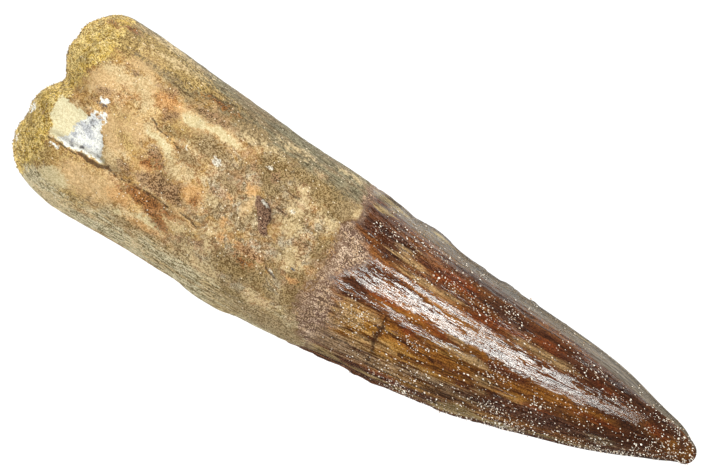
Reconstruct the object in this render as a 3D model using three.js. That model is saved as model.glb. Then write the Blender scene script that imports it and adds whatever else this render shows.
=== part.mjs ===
// A fossil Spinosaurus tooth with its root, as one solid piece, in millimetres, +Z up.
//
// The tooth lies on its side. It runs along X, from the broken root end to the tip of the crown at
// +X. The distal edge of the tooth, which is the straighter one, is on the +Y side, and the convex
// mesial edge on the -Y side. The underside touches the surface along a narrow flat spot at Z = 0.
//
// The solid is a lathed blank of profile rings, reshaped ring by ring into oval sections that follow
// the tooth's outline. Relief is then added: the fluted enamel of the crown with a cutting edge on
// each side, the step at the enamel's edge, and the root's lumps, chips, crack and two-lobed end.

import * as THREE from "three";
import { mergeVertices } from "three/addons/utils/BufferGeometryUtils.js";

// ---------------------------------------------------------------- driving dimensions

const LENGTH = 105;
const TIP_RADIUS = 2;
const TIP_CENTRE_X = LENGTH - TIP_RADIUS;
const DEPTH_TO_WIDTH = 0.86; // the section's height over its width, before the tip

// The outline at stations along X: the distal and mesial edges, and the height of the underside.
// The underside dips a little below 0, and what is below 0 is cut off flat.
const STATIONS = [
  { x: 0, distal: 14.9, mesial: -13.3, underside: 1.0 },
  { x: 10, distal: 14.6, mesial: -13.5, underside: 0.1 },
  { x: 20, distal: 13.75, mesial: -13.4, underside: -0.25 },
  { x: 30, distal: 12.9, mesial: -13.55, underside: -0.35 },
  { x: 38, distal: 12.2, mesial: -13.5, underside: -0.35 },
  { x: 46, distal: 11.6, mesial: -12.95, underside: -0.3 },
  { x: 56, distal: 10.6, mesial: -12.0, underside: -0.2 },
  { x: 66, distal: 9.55, mesial: -10.75, underside: 0.1 },
  { x: 76, distal: 8.95, mesial: -9.1, underside: 0.7 },
  { x: 84, distal: 8.4, mesial: -6.9, underside: 1.4 },
  { x: 90, distal: 7.6, mesial: -5.1, underside: 2.1 },
  { x: 96, distal: 6.1, mesial: -2.8, underside: 3.0 },
  { x: 100, distal: 5.15, mesial: -1.1, underside: 3.5 },
  { x: TIP_CENTRE_X, distal: 4.2, mesial: 0.2, underside: 3.9 },
];

// The root is boxier in section than the crown: the exponents of the two superellipses.
const ROOT_SQUARENESS = 2.35;
const CROWN_SQUARENESS = 2.0;

// The root's broken end: a rough flat face of this share of the section, with rounded corners that
// run further along the mesial side than the distal one.
const END_FACE_SHARE = 0.58;
const DISTAL_CORNER = 6.2;
const MESIAL_CORNER = 11;
const END_ROUGHNESS = 0.25;
const NOTCH = { y: 2.8, halfWidth: 1.9, depth: 2.3 }; // between the end's two lobes
const NOTCH_GROOVE = { length: 8, depth: 0.8 }; // where the notch runs out on both faces
const DISTAL_LOBE_SETBACK = 0.5;
// The pulp cavity is filled with sandstone almost to the brim.
const PULP_CAVITY = { y: -2.6, z: 11.6, halfWidth: 4.6, halfHeight: 4.0, depth: 1.9 };

// The crown: fine lengthwise ridges, and a keel (carina) along each edge.
const ENAMEL_EDGE_X = 46;
const ENAMEL_FADE = 5; // the ridges rise over this length
const RIDGE_COUNT = 56;
const RIDGE_HEIGHT = 0.1;
const CARINA = { height: 0.2, halfAngle: 0.07 };
const ROOT_LIP = 0.22; // the root's crust stands this far proud of the enamel

// Chips and dents of the root, and the crust that laps over the enamel. along and across are
// half-lengths, turn is in degrees from +X, rise is negative for a hollow, and face is 1 for the
// upper face and -1 for the underside.
const SPOTS = [
  { x: 8.5, y: -2, along: 4.4, across: 2.7, turn: -10, rise: -0.6, face: 1 }, // the largest chip
  { x: 9.5, y: -5.1, along: 5.5, across: 0.7, turn: 0, rise: -0.8, face: 1 }, // the crack, open here
  { x: 20, y: -5.6, along: 7, across: 0.9, turn: -8, rise: -0.4, face: 1 }, // and closed from here on
  { x: 19, y: -2.2, along: 4.5, across: 2.0, turn: -30, rise: -0.4, face: 1 },
  { x: 24, y: 3.8, along: 5.5, across: 1.8, turn: 0, rise: -0.35, face: 1 },
  { x: 36, y: 0.5, along: 2.6, across: 0.9, turn: -50, rise: -0.5, face: 1 },
  { x: 45.5, y: 7.2, along: 2.4, across: 1.8, turn: 0, rise: 0.3, face: 1 },
  { x: 13, y: 4.5, along: 6, across: 2.8, turn: 15, rise: -0.6, face: -1 },
  { x: 27, y: -6.5, along: 7, across: 2.2, turn: -10, rise: -0.55, face: -1 },
  { x: 34, y: 6.8, along: 5, across: 1.8, turn: 8, rise: -0.4, face: -1 },
  { x: 18, y: -9.5, along: 6, across: 0.8, turn: 5, rise: -0.7, face: -1 },
  { x: 47, y: -6, along: 3, across: 2.2, turn: 0, rise: 0.3, face: -1 },
];

// Sandy crust that clings to the edges: where it is along X, how long, and how far it stands out.
const EDGE_CRUSTS = [
  { x: 34.5, halfLength: 4, rise: 0.6, edge: "mesial" },
  { x: 65, halfLength: 8, rise: 0.35, edge: "mesial" },
  { x: 50, halfLength: 3, rise: 0.25, edge: "distal" },
  { x: 58, halfLength: 2.8, rise: 0.25, edge: "distal" },
];
const EDGE_CRUST_HALF_ANGLE = 0.3;

// How finely the solid is faceted.
const SEGMENTS = 2 * RIDGE_COUNT; // crest and valley of each ridge
const FACE_RINGS = 3;
const CORNER_RINGS = 4;
const ROOT_RING_SPACING = 2.3;
const EDGE_RING_SPACING = 1.6;
const CROWN_RING_SPACING = 4.2;
const TIP_RINGS = 4;

// ---------------------------------------------------------------- curves

const smooth = THREE.MathUtils.smoothstep;
const lerp = THREE.MathUtils.lerp;
const bell = (t) => Math.exp(-t * t);
const signedPower = (v, power) => Math.sign(v) * Math.abs(v) ** power;

// The value of one column of STATIONS at x, on a cubic through the stations.
function station(column, x) {
  const last = STATIONS.length - 1;
  let i = 0;
  while (i < last - 1 && STATIONS[i + 1].x < x) i += 1;
  const slope = (k) => {
    const before = STATIONS[Math.max(k - 1, 0)];
    const after = STATIONS[Math.min(k + 1, last)];
    return (after[column] - before[column]) / (after.x - before.x);
  };
  const from = STATIONS[i];
  const to = STATIONS[i + 1];
  const span = to.x - from.x;
  const t = THREE.MathUtils.clamp((x - from.x) / span, 0, 1);
  const t2 = t * t;
  const t3 = t2 * t;
  return (
    (2 * t3 - 3 * t2 + 1) * from[column] +
    (t3 - 2 * t2 + t) * span * slope(i) +
    (3 * t2 - 2 * t3) * to[column] +
    (t3 - t2) * span * slope(i + 1)
  );
}

// 0 on the root, 1 on the enamel. The edge of the enamel wanders round the tooth.
function enamel(x, angle) {
  const edge = ENAMEL_EDGE_X + 0.9 * Math.sin(angle * 2 + 0.6) + 0.5 * Math.sin(angle * 5);
  return smooth(x, edge, edge + ENAMEL_FADE);
}

// ---------------------------------------------------------------- the section at x

function section(x) {
  const distal = station("distal", x);
  const mesial = station("mesial", x);
  const underside = station("underside", x);
  const halfWidth = (distal - mesial) / 2;
  const depthToWidth = lerp(DEPTH_TO_WIDTH, 1, smooth(x, 88, TIP_CENTRE_X));
  const halfDepth = halfWidth * depthToWidth;
  const crown = smooth(x, ENAMEL_EDGE_X - 8, ENAMEL_EDGE_X + 12);
  return {
    y: (distal + mesial) / 2,
    z: underside + halfDepth,
    halfWidth,
    halfDepth,
    squareness: lerp(ROOT_SQUARENESS, CROWN_SQUARENESS, crown),
  };
}

// ---------------------------------------------------------------- relief

// How far the surface stands out from the plain section, at x and angle (0 is distal, PI / 2 is up).
function relief(x, angle, y) {
  const glaze = enamel(x, angle);
  const root = 1 - glaze;
  const up = Math.sin(angle);
  let height = 0;

  // Crown: ridges that fade towards the tip, and the two keels.
  const ridgeFade = glaze * (1 - smooth(x, 78, 98));
  height += RIDGE_HEIGHT * ridgeFade * Math.cos(RIDGE_COUNT * angle);
  const toDistal = Math.abs(angle > Math.PI ? angle - 2 * Math.PI : angle);
  const toMesial = Math.abs(angle - Math.PI);
  const keelFade = glaze * (1 - smooth(x, 94, TIP_CENTRE_X));
  height += CARINA.height * keelFade * bell(Math.min(toDistal, toMesial) / CARINA.halfAngle);

  // Root: slow lumps on both faces, and the lip of crust that ends at the enamel.
  const lumps =
    Math.sin(0.42 * x + 2 * angle) * Math.sin(0.19 * x - 3 * angle + 1.3) +
    0.6 * Math.sin(0.75 * x - 5 * angle) * Math.sin(0.55 * x + 4 * angle + 0.7);
  height += 0.2 * root * lumps * up ** 2 + ROOT_LIP * root * smooth(x, 34, 44);

  for (const spot of SPOTS) {
    const turn = THREE.MathUtils.degToRad(spot.turn);
    const dx = x - spot.x;
    const dy = y - spot.y;
    const along = (dx * Math.cos(turn) + dy * Math.sin(turn)) / spot.along;
    const across = (dy * Math.cos(turn) - dx * Math.sin(turn)) / spot.across;
    const onFace = smooth(up * spot.face, 0.05, 0.35);
    height += spot.rise * onFace * Math.exp(-(along ** 4) - across ** 2);
  }
  for (const crust of EDGE_CRUSTS) {
    const turned = crust.edge === "distal" ? toDistal : toMesial;
    const along = (x - crust.x) / crust.halfLength;
    height += crust.rise * Math.exp(-(along ** 4)) * bell(turned / EDGE_CRUST_HALF_ANGLE);
  }

  // The notch of the root end runs out along both faces as a groove.
  const groove = NOTCH_GROOVE.depth * bell((y - NOTCH.y) / NOTCH.halfWidth) * Math.abs(up);
  return height - groove * (1 - smooth(x, 0, NOTCH_GROOVE.length));
}

// How far the broken end lies back from X = 0 at a point of the end face.
function endSetback(y, z) {
  const notch = NOTCH.depth * bell((y - NOTCH.y) / NOTCH.halfWidth);
  const lobe = DISTAL_LOBE_SETBACK * smooth(y, 3, 6);
  const dish =
    ((y - PULP_CAVITY.y) / PULP_CAVITY.halfWidth) ** 2 +
    ((z - PULP_CAVITY.z) / PULP_CAVITY.halfHeight) ** 2;
  const wave = Math.sin(0.9 * y + 0.4 * z) * Math.sin(0.7 * z - 0.5 * y + 1);
  return notch + lobe + PULP_CAVITY.depth * Math.exp(-(dish ** 2)) + END_ROUGHNESS * (1 + wave);
}

// ---------------------------------------------------------------- the solid

// The blank's profile: x along the tooth and the share of the section's size. On the rounded corner
// of the root end, x is a share of the corner's length, which differs round the tooth.
function profileRings() {
  const rings = [{ corner: 0, share: 0 }];
  for (let i = 1; i <= FACE_RINGS; i += 1)
    rings.push({ corner: 0, share: (END_FACE_SHARE * i) / FACE_RINGS });
  for (let i = 1; i <= CORNER_RINGS; i += 1) {
    const turn = ((Math.PI / 2) * i) / CORNER_RINGS;
    const share = lerp(END_FACE_SHARE, 1, Math.sin(turn));
    rings.push({ corner: 1 - Math.cos(turn), share });
  }
  const edgeStart = ENAMEL_EDGE_X - 2;
  const edgeEnd = ENAMEL_EDGE_X + 4;
  for (let x = MESIAL_CORNER + 2; x < edgeStart; x += ROOT_RING_SPACING)
    rings.push({ x, share: 1 });
  for (let x = edgeStart; x < edgeEnd; x += EDGE_RING_SPACING)
    rings.push({ x, share: 1 });
  for (let x = edgeEnd; x < TIP_CENTRE_X - 1; x += CROWN_RING_SPACING)
    rings.push({ x, share: 1 });
  for (let i = 0; i <= TIP_RINGS; i += 1) {
    const turn = ((Math.PI / 2) * i) / TIP_RINGS;
    const share = i === TIP_RINGS ? 0 : Math.cos(turn);
    rings.push({ x: TIP_CENTRE_X + TIP_RADIUS * Math.sin(turn), share });
  }
  return rings;
}

// The place of one point of the blank, on a ring and at an angle round the tooth.
function toothPoint(ring, angle) {
  const cornerLength = lerp(MESIAL_CORNER, DISTAL_CORNER, (1 + Math.cos(angle)) / 2);
  const ringX = ring.corner === undefined ? ring.x : ring.corner * cornerLength;
  const size = section(Math.min(ringX, TIP_CENTRE_X));
  const power = 2 / size.squareness;
  const across = size.halfWidth * signedPower(Math.cos(angle), power);
  const up = size.halfDepth * signedPower(Math.sin(angle), power);

  // The relief stands out along the section's own normal, and dies away at the two poles.
  const normal = new THREE.Vector2(across / size.halfWidth ** 2, up / size.halfDepth ** 2).normalize();
  const y = size.y + ring.share * across;
  const raised = relief(ringX, angle, y) * smooth(ring.share, 0.1, 0.9);

  const point = new THREE.Vector3(
    ringX,
    y + raised * normal.x,
    size.z + ring.share * up + raised * normal.y,
  );
  point.x += endSetback(point.y, point.z) * (1 - smooth(ringX, 1, 10));
  point.z = Math.max(point.z, 0);
  return point;
}

function toothGeometry() {
  const rings = profileRings();
  const blank = new THREE.LatheGeometry(
    rings.map((ring, i) => new THREE.Vector2(ring.share, i)),
    SEGMENTS,
  );
  const position = blank.getAttribute("position");
  for (let i = 0; i < position.count; i += 1) {
    const ring = rings[i % rings.length];
    const step = Math.floor(i / rings.length) % SEGMENTS;
    const point = toothPoint(ring, (2 * Math.PI * step) / SEGMENTS);
    position.setXYZ(i, point.x, point.y, point.z);
  }
  blank.deleteAttribute("normal");
  blank.deleteAttribute("uv");
  const solid = mergeVertices(blank, 1e-4);

  // The frame's origin is under the middle of the tooth, on the surface that it lies on.
  solid.computeBoundingBox();
  const middle = solid.boundingBox.getCenter(new THREE.Vector3());
  solid.translate(-middle.x, -middle.y, -solid.boundingBox.min.z);
  solid.computeVertexNormals();
  return solid;
}

const tooth = new THREE.Mesh(
  toothGeometry(),
  new THREE.MeshStandardMaterial({ color: 0x8a6238, roughness: 0.55, metalness: 0 }),
);
tooth.name = "tooth";

const part = new THREE.Group();
part.name = "spinosaurus_tooth";
part.add(tooth);

export default part;
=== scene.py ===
"""The looks of a fossil Spinosaurus tooth with its root, lying on its side on a white table.

One mesh stands for the CAD solid. It has the same form, worked out from the same dimensions, and
finer relief. Float fields on its points say where each kind of surface lies, such as enamel, crust
or a pale chip, and the material turns them into colour, gloss and grain. Two more meshes hold the
sand that is stuck to the enamel and to the root's end.

Places are in the tooth's own millimetres: X from the root end to the tip, Y from the mesial edge
to the distal one, Z up. They become metres in the frame at the very end.
"""

import math

import bpy
import numpy as np
from mathutils import Matrix, Vector, noise


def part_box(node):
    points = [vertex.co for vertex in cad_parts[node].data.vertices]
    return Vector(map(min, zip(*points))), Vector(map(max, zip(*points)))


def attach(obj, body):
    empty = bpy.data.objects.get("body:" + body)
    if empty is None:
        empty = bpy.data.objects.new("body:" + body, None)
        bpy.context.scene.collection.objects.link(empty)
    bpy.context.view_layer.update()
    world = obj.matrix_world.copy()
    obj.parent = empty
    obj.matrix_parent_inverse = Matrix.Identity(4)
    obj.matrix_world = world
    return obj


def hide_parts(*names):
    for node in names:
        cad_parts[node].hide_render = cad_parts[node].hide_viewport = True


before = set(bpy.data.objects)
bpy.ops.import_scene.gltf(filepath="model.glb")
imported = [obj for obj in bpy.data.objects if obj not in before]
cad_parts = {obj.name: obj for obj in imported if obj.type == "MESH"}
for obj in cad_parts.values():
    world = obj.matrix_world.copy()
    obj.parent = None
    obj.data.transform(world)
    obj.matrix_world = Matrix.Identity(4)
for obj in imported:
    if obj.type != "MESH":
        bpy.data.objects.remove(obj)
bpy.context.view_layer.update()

# ---- dimensions that the solid has too

LENGTH = 105.0
MIDDLE_Y = 0.43  # the frame's Y = 0
TIP_RADIUS = 2.0
TIP_CENTRE_X = LENGTH - TIP_RADIUS
DEPTH_TO_WIDTH = 0.86

STATION_X = np.array([0, 10, 20, 30, 38, 46, 56, 66, 76, 84, 90, 96, 100, TIP_CENTRE_X])
DISTAL = np.array([14.9, 14.6, 13.75, 12.9, 12.2, 11.6, 10.6, 9.55, 8.95, 8.4, 7.6, 6.1, 5.15, 4.2])
MESIAL = -np.array([13.3, 13.5, 13.4, 13.55, 13.5, 12.95, 12.0, 10.75, 9.1, 6.9, 5.1, 2.8, 1.1, -0.2])
UNDERSIDE = np.array([1.0, 0.1, -0.25, -0.35, -0.35, -0.3, -0.2, 0.1, 0.7, 1.4, 2.1, 3.0, 3.5, 3.9])

ROOT_SQUARENESS = 2.35
CROWN_SQUARENESS = 2.0

END_FACE_SHARE = 0.58
DISTAL_CORNER = 6.2
MESIAL_CORNER = 11.0
END_ROUGHNESS = 0.25
NOTCH_Y = 2.8
NOTCH_HALF_WIDTH = 1.9
NOTCH_DEPTH = 2.3
NOTCH_GROOVE_LENGTH = 8.0
NOTCH_GROOVE_DEPTH = 0.8
DISTAL_LOBE_SETBACK = 0.5
CAVITY_Y = -2.6
CAVITY_Z = 11.6
CAVITY_HALF_WIDTH = 4.6
CAVITY_HALF_HEIGHT = 4.0
CAVITY_DEPTH = 1.9

ENAMEL_EDGE_X = 46.0
RIDGE_COUNT = 56
CARINA_HEIGHT = 0.2
CARINA_HALF_ANGLE = 0.07
ROOT_LIP = 0.22

# x, y, half-length, half-width, turn in degrees, rise, and 1 for the upper face or -1 for the lower
SPOTS = [
    (8.5, -2, 4.4, 2.7, -10, -0.6, 1),
    (9.5, -5.1, 5.5, 0.7, 0, -0.8, 1),
    (20, -5.6, 7, 0.9, -8, -0.4, 1),
    (19, -2.2, 4.5, 2.0, -30, -0.4, 1),
    (24, 3.8, 5.5, 1.8, 0, -0.35, 1),
    (36, 0.5, 2.6, 0.9, -50, -0.5, 1),
    (45.5, 7.2, 2.4, 1.8, 0, 0.3, 1),
    (13, 4.5, 6, 2.8, 15, -0.6, -1),
    (27, -6.5, 7, 2.2, -10, -0.55, -1),
    (34, 6.8, 5, 1.8, 8, -0.4, -1),
    (18, -9.5, 6, 0.8, 5, -0.7, -1),
    (47, -6, 3, 2.2, 0, 0.3, -1),
]

# x, half-length, rise, and the angle of the edge: 0 is distal and pi mesial
EDGE_CRUSTS = [
    (34.5, 4, 0.6, math.pi),
    (65, 8, 0.35, math.pi),
    (50, 3, 0.25, 0),
    (58, 2.8, 0.25, 0),
]
EDGE_CRUST_HALF_ANGLE = 0.3

# ---- how finely this mesh is made

AROUND = 6 * RIDGE_COUNT
FACE_RINGS = 24
CORNER_RINGS = 20
SHOULDER_RINGS = 14
SIDE_RINGS = 218
TIP_RINGS = 13
SHOULDER_END = 13.0

# ---- small tools


def mixed(a, b, share):
    return a + (b - a) * share


def smooth(value, low, high):
    """0 up to low, 1 from high on, and a soft rise between."""
    t = np.clip((value - low) / (high - low), 0, 1)
    return t * t * (3 - 2 * t)


def bell(t):
    return np.exp(-t * t)


def station(values, x):
    """The value at each x, on a cubic through the values at the stations."""
    last = len(STATION_X) - 1
    k = np.arange(last + 1)
    before = np.maximum(k - 1, 0)
    after = np.minimum(k + 1, last)
    slopes = (values[after] - values[before]) / (STATION_X[after] - STATION_X[before])
    i = np.clip(np.searchsorted(STATION_X, x) - 1, 0, last - 1)
    span = STATION_X[i + 1] - STATION_X[i]
    t = np.clip((x - STATION_X[i]) / span, 0, 1)
    return (
        (2 * t**3 - 3 * t**2 + 1) * values[i]
        + (t**3 - 2 * t**2 + t) * span * slopes[i]
        + (3 * t**2 - 2 * t**3) * values[i + 1]
        + (t**3 - t**2) * span * slopes[i + 1]
    )


def fractal(points, size, octaves=3, shift=0.0):
    """Random bumps of about -1 to 1 at points, the largest of them about size across."""
    shape = points.shape[:-1]
    rows = (points.reshape(-1, 3) / size + shift).tolist()
    values = [noise.fractal(Vector(row), 1.0, 2.0, octaves) for row in rows]
    return np.array(values).reshape(shape)


def turned(angle, centre):
    """How far each angle is from centre, the short way round."""
    return np.abs((angle - centre + math.pi) % (2 * math.pi) - math.pi)


def ellipse(x, y, spot_x, spot_y, half_length, half_width, turn=0):
    """Each point's place in a turned ellipse: its share of the half-length and of the half-width."""
    a = math.radians(turn)
    dx = x - spot_x
    dy = y - spot_y
    along = (dx * math.cos(a) + dy * math.sin(a)) / half_length
    across = (dy * math.cos(a) - dx * math.sin(a)) / half_width
    return along, across


# ---- the form of the solid


def enamel_edge(angle):
    """The x at which the solid's crust ends and its enamel begins."""
    return ENAMEL_EDGE_X + 0.9 * np.sin(angle * 2 + 0.6) + 0.5 * np.sin(angle * 5)


def section(x):
    """The section's middle, half sizes and squareness at each x."""
    distal = station(DISTAL, x)
    mesial = station(MESIAL, x)
    half_width = (distal - mesial) / 2
    half_depth = half_width * mixed(DEPTH_TO_WIDTH, 1, smooth(x, 88, TIP_CENTRE_X))
    squareness = mixed(ROOT_SQUARENESS, CROWN_SQUARENESS, smooth(x, 38, 58))
    return (distal + mesial) / 2, station(UNDERSIDE, x) + half_depth, half_width, half_depth, squareness


def coarse_relief(x, angle, y):
    """The relief that the solid has too, without the crown's ridges."""
    edge = enamel_edge(angle)
    glaze = smooth(x, edge, edge + 5)
    root = 1 - glaze
    up = np.sin(angle)
    keel = glaze * (1 - smooth(x, 94, TIP_CENTRE_X))
    to_keel = np.minimum(turned(angle, 0), turned(angle, math.pi))
    height = CARINA_HEIGHT * keel * bell(to_keel / CARINA_HALF_ANGLE)

    lumps = np.sin(0.42 * x + 2 * angle) * np.sin(0.19 * x - 3 * angle + 1.3)
    lumps += 0.6 * np.sin(0.75 * x - 5 * angle) * np.sin(0.55 * x + 4 * angle + 0.7)
    height += 0.2 * root * lumps * up**2 + ROOT_LIP * root * smooth(x, 34, 44)

    for spot_x, spot_y, half_length, half_width, turn, rise, face in SPOTS:
        along, across = ellipse(x, y, spot_x, spot_y, half_length, half_width, turn)
        height += rise * smooth(up * face, 0.05, 0.35) * np.exp(-(along**4) - across**2)
    for crust_x, half_length, rise, centre in EDGE_CRUSTS:
        along = (x - crust_x) / half_length
        across = turned(angle, centre) / EDGE_CRUST_HALF_ANGLE
        height += rise * np.exp(-(along**4)) * bell(across)

    groove = NOTCH_GROOVE_DEPTH * bell((y - NOTCH_Y) / NOTCH_HALF_WIDTH) * np.abs(up)
    return height - groove * (1 - smooth(x, 0, NOTCH_GROOVE_LENGTH))


def end_setback(y, z):
    """How far the root's broken end is set back at each place of its face."""
    notch = NOTCH_DEPTH * bell((y - NOTCH_Y) / NOTCH_HALF_WIDTH)
    lobe = DISTAL_LOBE_SETBACK * smooth(y, 3, 6)
    dish = ((y - CAVITY_Y) / CAVITY_HALF_WIDTH) ** 2 + ((z - CAVITY_Z) / CAVITY_HALF_HEIGHT) ** 2
    wave = np.sin(0.9 * y + 0.4 * z) * np.sin(0.7 * z - 0.5 * y + 1)
    return notch + lobe + CAVITY_DEPTH * np.exp(-(dish**2)) + END_ROUGHNESS * (1 + wave)


def rings(angle):
    """Each ring's x at each angle, and its share of the section's size, from root end to tip."""
    corner_length = mixed(MESIAL_CORNER, DISTAL_CORNER, (1 + np.cos(angle)) / 2)
    x = []
    share = []
    for i in range(1, FACE_RINGS + 1):
        x.append(np.zeros_like(angle))
        share.append(END_FACE_SHARE * i / FACE_RINGS)
    for turn in np.linspace(0, math.pi / 2, CORNER_RINGS + 1)[1:]:
        x.append(corner_length * (1 - math.cos(turn)))
        share.append(mixed(END_FACE_SHARE, 1, math.sin(turn)))
    for t in np.linspace(0, 1, SHOULDER_RINGS + 1)[1:]:
        x.append(mixed(corner_length, SHOULDER_END, t))
        share.append(1)
    for side_x in np.linspace(SHOULDER_END, TIP_CENTRE_X, SIDE_RINGS + 1)[1:]:
        x.append(np.full_like(angle, side_x))
        share.append(1)
    for turn in np.linspace(0, math.pi / 2, TIP_RINGS + 1)[1:-1]:
        x.append(np.full_like(angle, TIP_CENTRE_X + TIP_RADIUS * math.sin(turn)))
        share.append(math.cos(turn))
    return np.array(x), np.array(share)[:, None]


def coarse_form(angle, x, share):
    """The solid's own surface, as a grid of points: rings by angles."""
    centre_y, centre_z, half_width, half_depth, squareness = section(np.minimum(x, TIP_CENTRE_X))
    power = 2 / squareness
    across = half_width * np.sign(np.cos(angle)) * np.abs(np.cos(angle)) ** power
    up = half_depth * np.sign(np.sin(angle)) * np.abs(np.sin(angle)) ** power
    normal = np.stack([across / half_width**2, up / half_depth**2])
    normal /= np.linalg.norm(normal, axis=0)

    y = centre_y + share * across
    raised = coarse_relief(x, angle, y) * smooth(share, 0.1, 0.9)
    y = y + raised * normal[0]
    z = centre_z + share * up + raised * normal[1]
    set_back = end_setback(y, z) * (1 - smooth(x, 1, 10))
    return np.stack([x + set_back, y, np.maximum(z, 0)], axis=-1)


def outward(points):
    """Each point's outward normal, from its neighbours on its ring and on the next ones."""
    around = np.roll(points, -1, axis=1) - np.roll(points, 1, axis=1)
    along = np.gradient(points, axis=0)
    normal = np.cross(around, along)
    return normal / np.maximum(np.linalg.norm(normal, axis=-1, keepdims=True), 1e-9)


def lengthwise(angle, x):
    """Coordinates that run along the tooth and close in on the tip, for what follows the ridges."""
    one = np.ones_like(x)
    return np.stack([x, 11 * np.cos(angle) * one, 11 * np.sin(angle) * one], axis=-1)


# ---- where each surface lies

# The names of the markings, which are also the names of their colours below
ROOT_MARKINGS = (
    "tan", "olive", "grey", "gold", "peach", "rust", "pale", "cream", "chip", "umber", "russet", "pit",
    "quartz", "white", "slate", "ink",
)
CROWN_MARKINGS = ("honey", "amber", "red", "mahogany", "dusky_sheen", "khaki", "silt")
MARKINGS = ROOT_MARKINGS + CROWN_MARKINGS
RARE_MARKINGS = ("white", "slate", "pit", "quartz", "ink", "chip")

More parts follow.
